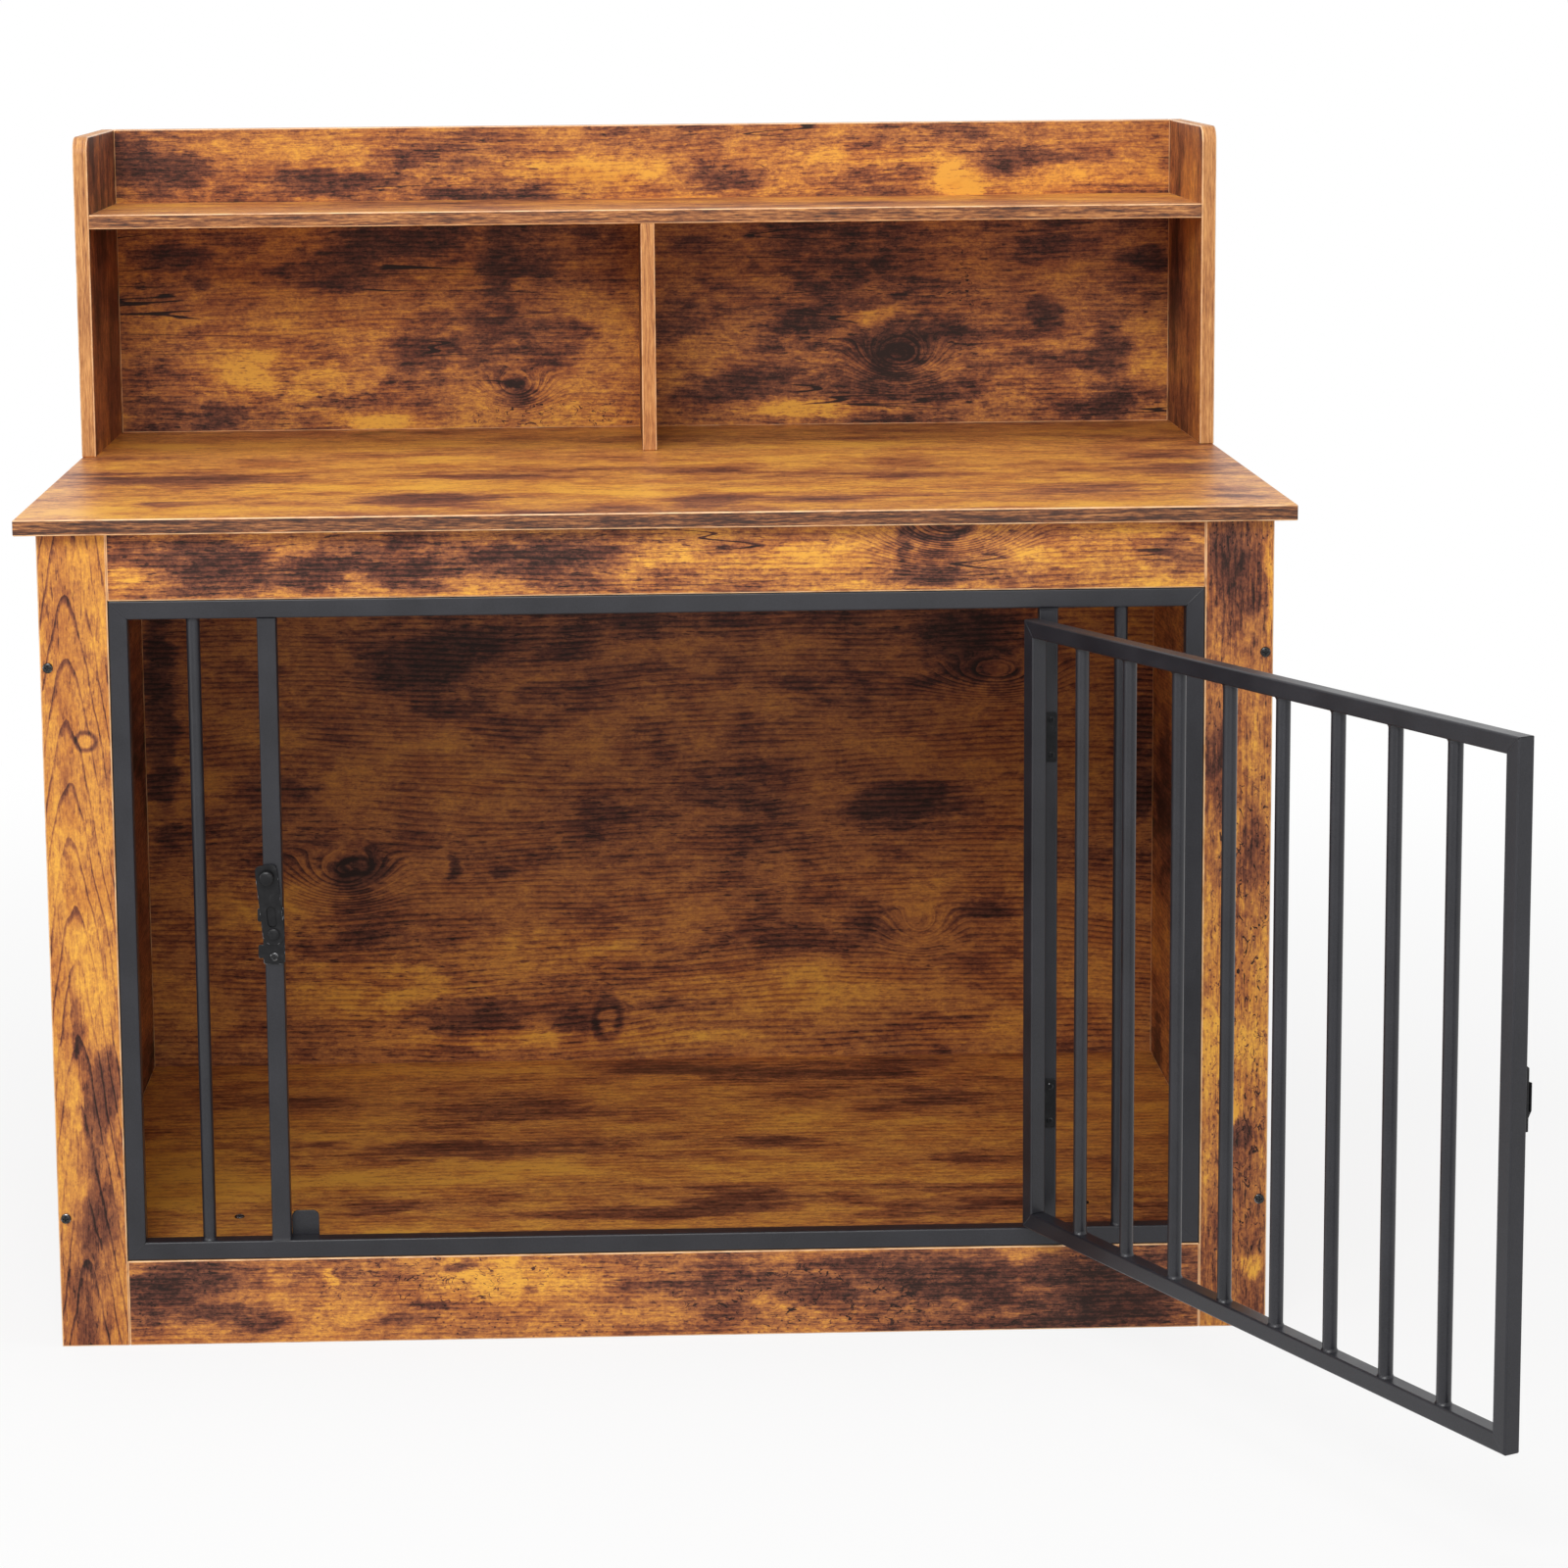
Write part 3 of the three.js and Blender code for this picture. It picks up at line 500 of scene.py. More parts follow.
# The print's layers of noise: cells to the metre along and across the grain, detail,
# roughness, and a shift that keeps the layers apart.
LAYERS = {
    "tremble": ((24, 62), 4, 0.62, 3.3),
    "drift": ((1.6, 3.6), 2, 0.5, 7.7),
    "patch": ((2.8, 7.0), 4, 0.58, 11.1),
    "blots": ((11, 27), 5, 0.64, 23.0),
    "streaks": ((9.5, 150), 5, 0.68, 1.7),
    "fibres": ((60, 820), 3, 0.62, 2.9),
    "mottle": ((60, 120), 5, 0.74, 5.9),
    "grit": ((210, 330), 3, 0.7, 8.3),
    "ticks": ((52, 400), 2, 0.5, 31.0),
    "worms": ((48, 95), 2, 0.5, 41.0),
    "worm_breaks": ((70, 130), 2, 0.6, 47.0),
    "splits": ((1.3, 25), 3, 0.42, 53.0),
    "split_breaks": ((5.0, 9.0), 2, 0.5, 59.0),
    "speckled": ((9, 9), 2, 0.5, 61.0),
}
TREMBLE = (0.036, 0.015, 0)  # metres along and across that a mark's rim is shaken by
WORM_TWIST = 1.2
SPECK_CELLS = (95, 120, 0)

# What each kind of mark adds to the darkness, which runs from 0, amber, to 1, black.
MIDDLE_TONE = 0.32
STAIN_AND_SHADE, SMUDGE_AND_SHADE, KNOT_LINE = 0.28, 0.07, 0.20
VEIN, EYE_RIM, TICK, WORM = 0.20, 0.55, 0.36, 0.85
GLOW = -0.42
BLOT_TINT = (0.74, 0.49, 0.47)


def oval(finish, vector, mark):
    """Distance from a mark's middle, 1 on its rim. A mark is along, across, half length and
    half height in millimetres, and may name its strength last."""
    along, across, length, height = (value * MM for value in mark[:4])
    return finish.length(finish.scaled(vector, (1 / length, 1 / height, 0),
                                       (-along / length, -across / height, 0)))


def total(signals):
    """The sum of signals, or 0 for none."""
    result = 0.0
    for signal in signals:
        result = signal + result
    return result


def laminate(name, grain, across, seed, tone=0.0, bias=0.0, patches=1.0, sway=0.012,
             lines=0.10, pitch=5.0, arches=None, knots=(), eyes=(), smudges_and_shade=(), glows=(),
             cracked=(), splits=0.0, specks=0.0, depth=1.0):
    """Printed rustic board. `grain` and `across` are the axes along and across the grain.

    Growth lines are contours of the place across the grain, waved by slow noise, with a hill
    at each knot. `lines` is their strength, `pitch` their distance in millimetres and `sway`
    how far they wave in metres. Arches have a middle, a reach and a rounding in millimetres:
    contours of the place along the grain plus reach sqrt(1 + (x / rounding)^2), with x the
    distance from the middle. The stain is a sum of patches of noise and of the marks, and it
    is cut to a ragged rim by finer noise and by the streaks of the grain. Fibres, mottling,
    worm-shaped cracks, long splits and specks lie over it. `tone` and `depth` shift and scale
    the darkness, and `bias` and `patches` shift and scale the stain. On a few boards some of
    the marks are painted shade, which the stain carries, and some of the glows are painted
    light; the left side panel's tone is painted shade."""
    finish = Finish(name)
    axes = finish.axes()
    along, side = axes.out(grain), axes.out(across)
    plan = finish.vector(along, side, 0.0)

    def layer(kind, place=plan, distortion=0.0):
        cells, detail, roughness, shift = LAYERS[kind]
        spot = finish.scaled(place, (*cells, 0), (seed * 3.7 + shift, seed * 1.9 - shift, 0))
        return finish.noise(spot, detail, roughness, distortion)

    shaken = finish.scaled(layer("tremble").out("Color"), TREMBLE, plan)
    ragged = finish.scaled(shaken, (1, 1, 1), [-reach / 2 for reach in TREMBLE])

    hills = [oval(finish, plan, knot).step(1.0, 0.0) for knot in knots]
    flow = side + layer("drift").swing(sway * 4)
    flow = flow + total([hill * (knot[4] * MM) for hill, knot in zip(hills, knots)])
    with_grain = finish.vector(along, flow, 0.0)

    patch, mottle, grit = layer("patch"), layer("mottle"), layer("grit")
    blots = layer("blots", ragged)
    streaks, fibres = layer("streaks", with_grain), layer("fibres", with_grain)

    marks = total([oval(finish, ragged, mark).step(1.7, 0.2) * (1.25 * mark[4])
                   for mark in smudges_and_shade])
    figure = total(hills)
    stain_and_shade = patch.swing(2.6 * patches) + blots.swing(1.8) + streaks.swing(1.1)
    stain_and_shade = (stain_and_shade + marks + figure * 0.05 + bias).step(0.0, 0.95)

    if arches:
        middle, reach, rounding = arches
        spread = (flow - middle * MM) * (1000.0 / rounding)
        bow = (spread * spread + 1.0).root()
        field = along + bow * (reach * MM) + patch.swing(0.16)
    else:
        field = flow + patch.swing(0.012)
    ring = (field * (1000.0 / pitch) + blots.swing(0.5)).fraction()
    growth = ring.step(0.74 if arches else 0.35, 0.93) * ring.step(1.0, 0.965)
    growth = growth * (blots.step(0.34, 0.56) + 0.25)

    dark = streaks.swing(0.30) + fibres.swing(0.38) + mottle.swing(0.62)
    dark = dark + patch.swing(0.80) + blots.swing(0.52) + grit.swing(0.50)
    dark = dark * depth + stain_and_shade * STAIN_AND_SHADE + marks * SMUDGE_AND_SHADE
    dark = dark + growth * (figure * KNOT_LINE + lines) + (MIDDLE_TONE + tone)
    dark = dark + abs(streaks - 0.5).step(0.040, 0.006) * mottle.step(0.44, 0.58) * VEIN

    for mark in eyes:
        distance = oval(finish, plan, mark) + blots.swing(0.9)
        rim = distance.step(0.5, 0.95) * distance.step(1.5, 1.0)
        dark = dark + rim * (EYE_RIM * mark[4])
    for mark in glows:
        dark = dark + oval(finish, ragged, mark).step(1.3, 0.3) * (GLOW * mark[4])

    dark = dark + layer("ticks").step(0.655, 0.70) * patch.step(0.44, 0.60, 0.15, 1.0) * TICK
    if cracked:
        here = total([oval(finish, ragged, mark).step(1.25, 0.5) * mark[4]
                      for mark in cracked])
        worm = abs(layer("worms", distortion=WORM_TWIST) - 0.5).step(0.030, 0.010)
        dark = dark + worm * layer("worm_breaks").step(0.50, 0.56) * here * WORM
    if splits:
        split = abs(layer("splits") - 0.5).step(0.007, 0.003)
        dark = dark + split * layer("split_breaks").step(0.54, 0.61) * splits
    if specks:
        dots = finish.node("ShaderNodeTexVoronoi", {"voronoi_dimensions": "2D"}, {
            "Vector": finish.scaled(plan, SPECK_CELLS, (seed, seed, 0)), "Scale": 1.0,
        }).out("Distance")
        dark = dark + dots.step(0.13, 0.07) * layer("speckled").step(0.50, 0.62) * specks

    colour = finish.mix(blots.step(0.42, 0.66, 0.0, 0.35),
                        finish.colours(dark, AMBER_TO_BLACK), BLOT_TINT, "MULTIPLY")
    return finish.surface(
        Base_Color=colour,
        Roughness=dark.step(0.0, 1.0, 0.36, 0.46),
        Specular_IOR_Level=0.18,
        Normal=finish.bump(fibres * 0.6 + streaks * 0.4, 0.12 * MM, 0.5),
    )


def edge_band(name, axis, tone, depth=1.0):
    """The striped tan band round a board whose thickness runs along one axis: streaks drawn
    out along the edge and tight across it."""
    finish = Finish(name)
    axes = finish.axes()
    others = [axes.out(other) for other in "XYZ" if other != axis]
    run = others[0] + others[1]
    fine = finish.noise(finish.vector(run * 62.0, axes.out(axis) * 700.0, 0.0), 4, 0.7)
    broad = finish.noise(finish.vector(run * 12.0, axes.out(axis) * 250.0, 0.0), 4, 0.66)
    dark = (fine.swing(1.5) + broad.swing(1.5)) * depth + (0.42 + tone)
    colour = finish.colours(dark, [
        (0.00, (0.74, 0.38, 0.135)),
        (0.30, (0.50, 0.215, 0.072)),
        (0.55, (0.270, 0.102, 0.040)),
        (0.80, (0.100, 0.038, 0.021)),
        (1.00, (0.045, 0.020, 0.013)),
    ])
    return finish.surface(Base_Color=colour, Roughness=fine.step(0.3, 0.7, 0.52, 0.42),
                          Specular_IOR_Level=0.30,
                          Normal=finish.bump(fine, 0.15 * MM, 0.6))


def pale_arris_and_highlight():
    """The pale line where the print ends and the edge band begins, made paler still as a painted
    highlight along the arris.
    """
    finish = Finish("pale_arris_and_highlight")
    worn = finish.solid_noise(35, 3, 0.6)
    colour = finish.colours(worn, [(0.35, (0.62, 0.31, 0.13)), (0.6, (0.90, 0.56, 0.29))])
    return finish.surface(Base_Color=colour, Roughness=worn.step(0.3, 0.7, 0.26, 0.36))


def powder_coat():
    """Matte charcoal powder coat: a fine pebbled skin with a faint cloudiness."""
    finish = Finish("charcoal_powder_coat")
    pebble = finish.solid_noise(900, 3, 0.6)
    cloud = finish.solid_noise(14, 4, 0.6)
    colour = finish.colours(cloud * 0.4 + pebble * 0.6, [
        (0.35, (0.010, 0.010, 0.013)), (0.65, (0.025, 0.025, 0.031)),
    ])
    return finish.surface(Base_Color=colour, Roughness=cloud.step(0.3, 0.7, 0.28, 0.38),
                          Specular_IOR_Level=0.42,
                          Normal=finish.bump(pebble, 0.08 * MM, 0.7))


def blackened(name, dull, bright, specular):
    """Blackened steel hardware with a slight shine, worn in places. Its roughness runs
    from dull down to bright."""
    finish = Finish(name)
    wear = finish.solid_noise(160, 4, 0.6)
    fine = finish.solid_noise(2400, 2, 0.5)
    colour = finish.colours(wear, [
        (0.40, (0.004, 0.004, 0.005)), (0.62, (0.010, 0.010, 0.011)), (0.75, (0.03, 0.03, 0.033)),
    ])
    return finish.surface(Base_Color=colour, Roughness=wear.step(0.35, 0.7, dull, bright),
                          Specular_IOR_Level=specular,
                          Normal=finish.bump(fine, 0.04 * MM, 0.4))


def slot_painted_shade():
    """Painted shade: dead black for the wall of the lever's slot, which hardly any light reaches.
    """
    finish = Finish("slot_painted_shade")
    fine = finish.solid_noise(700, 2, 0.5)
    colour = finish.colours(fine, [(0.3, (0.001, 0.001, 0.001)), (0.7, (0.004, 0.004, 0.004))])
    return finish.surface(Base_Color=colour, Roughness=0.8, Specular_IOR_Level=0.05)


def worn_edge_and_glint():
    """The same steel along an edge where the black is worn through in stretches; the bare steel
    is also set on arrises and screw rims as a painted glint.
    """
    finish = Finish("worn_edge_and_glint")
    worn = finish.solid_noise(260, 3, 0.6)
    bare = worn.step(0.52, 0.66)
    colour = finish.colours(bare, [(0.0, (0.008, 0.008, 0.009)), (1.0, (0.42, 0.42, 0.43))])
    return finish.surface(Base_Color=colour, Metallic=bare,
                          Roughness=worn.step(0.3, 0.7, 0.36, 0.24), Specular_IOR_Level=0.24)


coat = powder_coat()
black = blackened("blackened_steel", 0.40, 0.26, 0.24)
screw_black = blackened("screw_black", 0.26, 0.16, 0.5)
worn_and_glint = worn_edge_and_glint()
slot_shade = slot_painted_shade()
pale_line_and_highlight = pale_arris_and_highlight()
# Each edge band's thickness axis and tone, and the depth of its streaks if it isn't 1.
BANDS = {"table": ("Z", 0.30), "shelf": ("Z", 0.12), "side": ("X", -0.16, 0.6),
         "frame": ("Y", 0.0)}
bands = {band: edge_band(f"{band}_edge_band", *settings) for band, settings in BANDS.items()}

# ---- boards

# Each board's thickness axis, grain axis, edge band and print. Marks are (along, across, half
# length, half height, strength) in millimetres along and across the grain; a knot's last
# number is the height of its hill in millimetres.
BOARDS = {
    "left_front_stile": ("Y", "Z", "frame", dict(
        seed=2.0, tone=-0.10, bias=-0.35, patches=0.5, sway=0.003,
        lines=0.30, pitch=66, arches=(-557, 110, 14), depth=0.72,
        eyes=[(592, -541, 8, 9, .8)],
        smudges_and_shade=[(562, -522, 30, 10, .6), (540, -556, 22, 10, .4), (400, -526, 28, 8, .7),
                 (262, -534, 34, 14, .7), (215, -545, 46, 10, .5), (330, -558, 40, 6, .5),
                 (200, -552, 180, 30, .40), (150, -545, 220, 60, .2), (120, -548, 24, 12, .5),
                 (60, -550, 60, 18, .4), (130, -526, 30, 10, .4)],
    )),
    "right_front_stile": ("Y", "Z", "frame", dict(
        seed=5.0, tone=-0.06, bias=-0.26, patches=0.6, sway=0.005,
        pitch=6, specks=0.35,
        smudges_and_shade=[(765, 540, 34, 30, .7), (700, 548, 60, 26, .35), (560, 530, 60, 16, .5),
                 (478, 530, 84, 12, .3), (487, 562, 47, 13, .5), (420, 556, 40, 16, .4),
                 (194, 554, 14, 9, 1.0), (170, 545, 40, 16, .15)],
        glows=[(330, 555, 200, 30, .25), (216, 552, 13, 9, .9), (61, 566, 13, 13, 1.0),
               (721, 578, 60, 5, .9)],
        cracked=[(440, 555, 120, 34, 1), (250, 555, 170, 30, .8), (110, 550, 80, 30, .5)],
    )),
    "top_front_rail": ("Y", "X", "frame", dict(
        seed=9.0, tone=-0.08, bias=-0.16, sway=0.006,
        lines=0.18, pitch=5.5, splits=0.6,
        knots=[(275, 785, 100, 52, 66)],
        eyes=[(262, 786, 26, 12, .9)],
        smudges_and_shade=[(-437, 768, 50, 14, .8), (-400, 743, 70, 14, .7), (-300, 755, 80, 18, .4),
                 (-190, 745, 60, 16, .5), (-100, 768, 60, 10, .4), (254, 738, 34, 9, 1.0),
                 (230, 770, 7, 16, .8), (491, 754, 30, 28, 1.0), (273, 786, 20, 8, .9)],
        glows=[(80, 758, 130, 18, .6), (380, 760, 60, 18, .5), (-500, 745, 20, 14, .4)],
    )),
    "bottom_front_rail": ("Y", "X", "frame", dict(
        seed=13.0, tone=0.02, bias=-0.06, patches=0.8, sway=0.004,
        lines=0.12, specks=0.35,
        smudges_and_shade=[(-490, 50, 60, 34, .7), (-452, 64, 50, 16, .8), (-420, 26, 50, 16, .8),
                 (-197, 73, 15, 5, 1.2), (-251, 22, 34, 5, 1.0), (-230, 36, 26, 4, .9),
                 (90, 40, 90, 34, .5), (280, 45, 220, 40, .45), (239, 62, 60, 24, .7),
                 (309, 52, 26, 22, .7), (373, 62, 24, 11, .9), (430, 30, 60, 22, .8),
                 (-130, 49, 9, 5, 1.0)],
        glows=[(-325, 66, 8, 13, 1.0), (-150, 60, 120, 30, .5), (-150, 78, 18, 6, .6)],
        cracked=[(150, 37, 160, 34, .9), (-200, 60, 140, 30, .7)],
    )),
    # Its darker tone is painted shade on the inner face, which the light only grazes.
    "left_side_panel": ("X", "Y", "frame", dict(seed=17.0, tone=0.18)),
    # Its two dark marks are painted shade on the inner face towards the back.
    "right_side_panel": ("X", "Y", "frame", dict(
        seed=21.0,
        smudges_and_shade=[(640, 110, 25, 34, 1), (560, 440, 90, 60, .7)],
    )),
    # The broad dark mark at (0, 520) is painted shade from the table top over the upper back, and
    # the glows, all low on the panel, are painted light towards the floor.
    "back_panel": ("Y", "X", "frame", dict(
        seed=26.0, tone=0.01, bias=0.02, patches=0.6, sway=0.014,
        lines=0.20, pitch=6.5, depth=0.68,
        knots=[(-347, 300, 90, 50, 46), (391, 520, 110, 40, 36), (303, 232, 60, 40, 30)],
        eyes=[(-53, 133, 15, 24, .6), (-332, 316, 16, 9, .6)],
        smudges_and_shade=[(-547, 481, 17, 114, 1.2), (-279, 545, 60, 24, .7), (-208, 572, 40, 14, .6),
                 (0, 520, 330, 90, .22), (-360, 408, 120, 14, .5), (-330, 306, 34, 17, .9),
                 (-223, 313, 8, 15, 1.0), (-170, 305, 11, 7, .9), (340, 570, 50, 32, .8),
                 (284, 374, 84, 24, .7), (370, 255, 40, 12, .7), (261, 246, 44, 28, .5),
                 (-215, 142, 60, 18, .8), (-90, 130, 34, 20, .5), (30, 150, 60, 8, .7),
                 (546, 420, 26, 60, .9), (380, 130, 60, 10, .5)],
        glows=[(-290, 175, 150, 50, .8), (140, 170, 220, 40, .4), (-100, 215, 120, 30, .5),
               (-110, 112, 240, 14, .7), (330, 120, 120, 20, .2), (-420, 250, 80, 70, .4)],
    )),
    # Its two glows at the left are painted light.
    "floor_panel": ("Z", "X", "frame", dict(
        seed=31.0, tone=-0.12, bias=-0.12, patches=1.1, sway=0.006,
        lines=0.12, pitch=12, specks=0.2, depth=0.85,
        smudges_and_shade=[(-192, 332, 110, 34, .9), (-376, 376, 80, 40, .6), (-54, 102, 70, 26, .8),
                 (-266, 144, 48, 18, .6), (73, 147, 80, 50, .7), (287, 156, 90, 60, .8),
                 (122, 356, 40, 29, .7), (39, 633, 160, 41, .5), (-467, 237, 49, 28, .6)],
        glows=[(-470, 300, 130, 200, .3), (-230, 250, 160, 60, .3)],
    )),
    "left_floor_batten": ("X", "Y", "frame", dict(seed=35.0)),
    "right_floor_batten": ("X", "Y", "frame", dict(seed=39.0)),
    "table_top": ("Z", "X", "table", dict(
        seed=44.0, tone=-0.12, bias=-0.10, patches=0.9, sway=0.006,
        lines=0.06, pitch=12,
        smudges_and_shade=[(-450, 270, 110, 34, .9), (-467, 84, 34, 26, .9), (-400, 110, 40, 26, .6),
                 (-200, 279, 60, 36, .7), (-155, 270, 40, 24, .7), (-225, 92, 62, 52, 1.0),
                 (98, 353, 22, 26, .6), (-40, 150, 50, 14, .5), (257, 224, 36, 24, .6),
                 (420, 110, 62, 40, 1.0), (50, 70, 40, 50, 1.0), (165, 95, 60, 44, .6),
                 (530, 300, 60, 120, .6), (300, 88, 60, 26, .5), (560, 60, 24, 60, .6)],
        glows=[(-330, 180, 120, 60, .5), (-540, 40, 40, 40, .5)],
    )),
    "hutch_left_side": ("X", "Z", "side", dict(seed=49.0, tone=0.14)),
    "hutch_right_side": ("X", "Z", "side", dict(seed=53.0, tone=0.08)),
    # Its two broad dark marks at a height of 1020 are painted shadow under the shelf.
    "hutch_back_panel": ("Y", "X", "frame", dict(
        seed=58.0, bias=0.04, sway=0.008,
        lines=0.12, pitch=6, splits=0.7,
        knots=[(-144, 846, 60, 34, 34), (283, 876, 74, 44, 46)],
        eyes=[(280, 874, 24, 17, .3)],
        smudges_and_shade=[(-300, 1020, 330, 36, .5), (300, 1020, 330, 26, .25), (-165, 990, 17, 34, 1.3),
                 (-122, 983, 26, 10, 1.0), (-493, 972, 15, 8, 1.2), (-527, 993, 34, 20, .8),
                 (-350, 976, 60, 13, .7), (-226, 894, 80, 40, .7), (-144, 846, 17, 16, 1.0),
                 (-105, 915, 70, 34, .6), (260, 984, 11, 6, 1.4), (310, 905, 60, 16, .5),
                 (230, 850, 100, 18, .4), (100, 852, 90, 20, .7), (20, 925, 40, 30, .9),
                 (448, 931, 18, 15, 1.1), (522, 871, 26, 50, .9), (450, 875, 70, 12, .6),
                 (562, 988, 26, 10, 1.0), (-372, 1080, 50, 13, .9), (-545, 1095, 60, 34, .8),
                 (60, 1080, 70, 18, .8), (385, 1092, 34, 15, 1.0), (455, 1100, 60, 10, .7),
                 (-200, 1100, 20, 10, .6), (-470, 825, 22, 16, .8)],
        glows=[(354, 1075, 34, 24, 1.2), (292, 1105, 110, 16, .8), (-410, 870, 90, 50, .8),
               (-350, 815, 110, 18, .7), (202, 822, 90, 10, 1.0), (247, 925, 44, 10, .8),
               (-100, 1090, 140, 22, .6), (300, 1085, 300, 50, .25), (-250, 1095, 300, 40, .2)],
        cracked=[(353, 944, 16, 60, 1), (-106, 820, 110, 18, .8), (100, 1090, 60, 16, .6)],
    )),
    "hutch_shelf": ("Z", "X", "shelf", dict(seed=63.0, tone=-0.06)),
    "hutch_divider": ("X", "Z", "side", dict(seed=67.0, tone=0.10)),
}

PLAN_AXES = {"X": [Y, Z, X], "Y": [Z, X, Y], "Z": [X, Y, Z]}


def board(node, thickness, grain, band, print_settings):
    """A board: its plan carried through its thickness, with every arris rounded. The faces are
    printed, the rims are banded and the arrises show the pale line between them, made paler as
    a painted highlight."""
    low, high = box_of(node)
    order = PLAN_AXES[thickness]
    radii = [BOARD_CORNER] * 4
    if node in ("hutch_left_side", "hutch_right_side"):
        radii[3] = HUTCH_CORNER
    outline = rectangle(low[order[:2]], high[order[:2]], radii, CORNER_STEPS)
    rows = plate_rows(outline, low[order[2]], high[order[2]], BOARD_ARRIS, RIM_STEPS)
    placed = np.empty_like(rows)
    placed[..., order] = rows
    gaps = [1] * RIM_STEPS + [2] + [1] * RIM_STEPS
    across = "XYZ".replace(thickness, "").replace(grain, "")
    printed = laminate(f"{node}_print", grain, across, **print_settings)
    piece(f"{node}_laminate", [skin(placed, gaps)], [printed, pale_line_and_highlight, bands[band]],
          "crate", [node])


for node, settings in BOARDS.items():
    board(node, *settings)

# ---- grille and door

# Each mitred tube: which way its outer side faces. Its length runs along the other axis.
FRAME_SIDES = {"left": (X, -1), "right": (X, 1), "top": (Z, 1), "bottom": (Z, -1)}


def coated(name, shapes, replaces, place=None):
    """A coated steel piece. The door's are drawn shut and carried by the place it gives."""
    body = "crate" if place is None else "door"
    piece(name, shapes, [coat], body, replaces, place)


def mitred_tube(node, side, place=None):
    """A square tube whose ends slope at 45 degrees: at a distance d from its outer side it
    starts at d past its corner and ends at d before the other."""
    low, high = box_of(node, place)
    across, sign = FRAME_SIDES[side]
    run = X + Z - across
    size = high[across] - low[across]
    points, _ = rectangle((0, low[Y]), (size, high[Y]), TUBE_CORNER, TUBE_STEPS)
    depth, height = points.T
    start, end = low[run] + depth + MITRE_GAP, high[run] - depth - MITRE_GAP
    rows = np.empty((2, len(points), 3))
    rows[..., across] = (high[across] - depth) if sign > 0 else (low[across] + depth)
    rows[..., Y] = height
    rows[0, :, run], rows[1, :, run] = start, end
    coated(f"{node}_coated", [skin(rows)], [node], place)
    return low, high


def flared(run, length, amount):
    """How much a tube or bar widens at its welded ends: amount (1 - s/h)^2, with s the
    distance from the nearer end and h the weld's height."""
    nearer = np.minimum(run, length - run)
    return amount * np.clip(1 - nearer / WELD_H, 0, 1) ** 2


def weld_stations(length):
    """The distances along a piece at which its rows lie, close together at its welds."""
    near = WELD_H * np.linspace(0, 1, 6)
    return np.r_[near, length - near[::-1]]


def post(node):
    """An upright square tube with a slight weld fillet at each end."""
    low, high = box_of(node)
    length = high[Z] - low[Z]
    outline = rectangle(low[:2], high[:2], TUBE_CORNER, TUBE_STEPS)
    run = weld_stations(length)
    rows = stacked(outline, flared(run, length, POST_WELD), low[Z] + run)
    coated(f"{node}_coated", [skin(rows)], [node])


def round_bar(node, place=None):
    """An upright round bar with a weld fillet at each end, turned about its axis."""
    low, high = box_of(node, place)
    length = high[Z] - low[Z]
    run = weld_stations(length)
    profile = np.stack([BAR_R + flared(run, length, BAR_WELD), low[Z] + run], -1)
    rows = turned_rows(profile, 36)
    rows[..., :2] += (low[:2] + high[:2]) / 2
    coated(f"{node}_coated", [skin(rows)], [node], place)


def seam(start, end, face):
    """A weld bead along a mitre: an ellipse carried from one corner to the other, thinner
    towards its ends by sin(pi s) to the power 0.3, and rippled along its length."""
    s = np.linspace(0.015, 0.985, 26)[:, None]
    angle = np.linspace(0, 2 * np.pi, 12, endpoint=False)[None]
    along = np.asarray(end, float) - start
    side = np.array([-along[1], along[0]]) / np.linalg.norm(along)
    swell = np.sin(np.pi * s) ** 0.3 * (1 + 0.10 * np.sin(60 * s))
    width = SEAM_W / 2 * swell * np.cos(angle)
    rows = np.empty(width.shape + (3,))
    rows[..., X] = start[0] + along[0] * s + side[0] * width
    rows[..., Z] = start[1] + along[1] * s + side[1] * width
    rows[..., Y] = face + SEAM_H * swell * np.sin(angle)
    return skin(rows, ends="pole")


def mitre_seams(name, low, high, size, place=None):
    """Beads on the front and rear of a frame's four mitres."""
    corners = [((low[X], low[Z]), (1, 1)), ((high[X], low[Z]), (-1, 1)),
               ((high[X], high[Z]), (-1, -1)), ((low[X], high[Z]), (1, -1))]
    near, far = SEAM_TRIM, size - SEAM_TRIM
    beads = []
    for (x, z), (right, up) in corners:
        start = np.array([x + right * near, z + up * near])
        end = np.array([x + right * far, z + up * far])
        beads += [seam(start, end, face) for face in (low[Y], high[Y])]
    coated(name, beads, (), place)


def tube_frame(nodes, seams, place=None):
    """Four mitred tubes, each on its side of a frame, and the beads on their mitres."""
    boxes = [mitred_tube(node, side, place) for side, node in nodes.items()]
    low = np.min([box[0] for box in boxes], 0)
    high = np.max([box[1] for box in boxes], 0)
    mitre_seams(seams, low, high, high[Y] - low[Y], place)


tube_frame({side: f"grille_{side}_tube" for side in FRAME_SIDES}, "grille_mitre_welds")
tube_frame({"left": "door_latch_stile", "right": "door_hinge_stile",
            "top": "door_top_tube", "bottom": "door_bottom_tube"},
           "door_mitre_welds", door_open)
post("latch_post")
post("hinge_post")
round_bar("left_fixed_bar")
round_bar("right_fixed_bar")
for number in range(DOOR_BARS):
    round_bar(f"door_bar_{number + 1}", door_open)


def front_plate(outline, back, face, arris, finish=0):
    """A plate drawn in X and Z that stands between two distances in front of y = 0."""
    rows = plate_rows(outline, back, face, arris, 3)
    rows[..., [X, Y, Z]] = np.stack([rows[..., 0], -rows[..., 2], rows[..., 1]], -1)
    return skin(rows, finish)


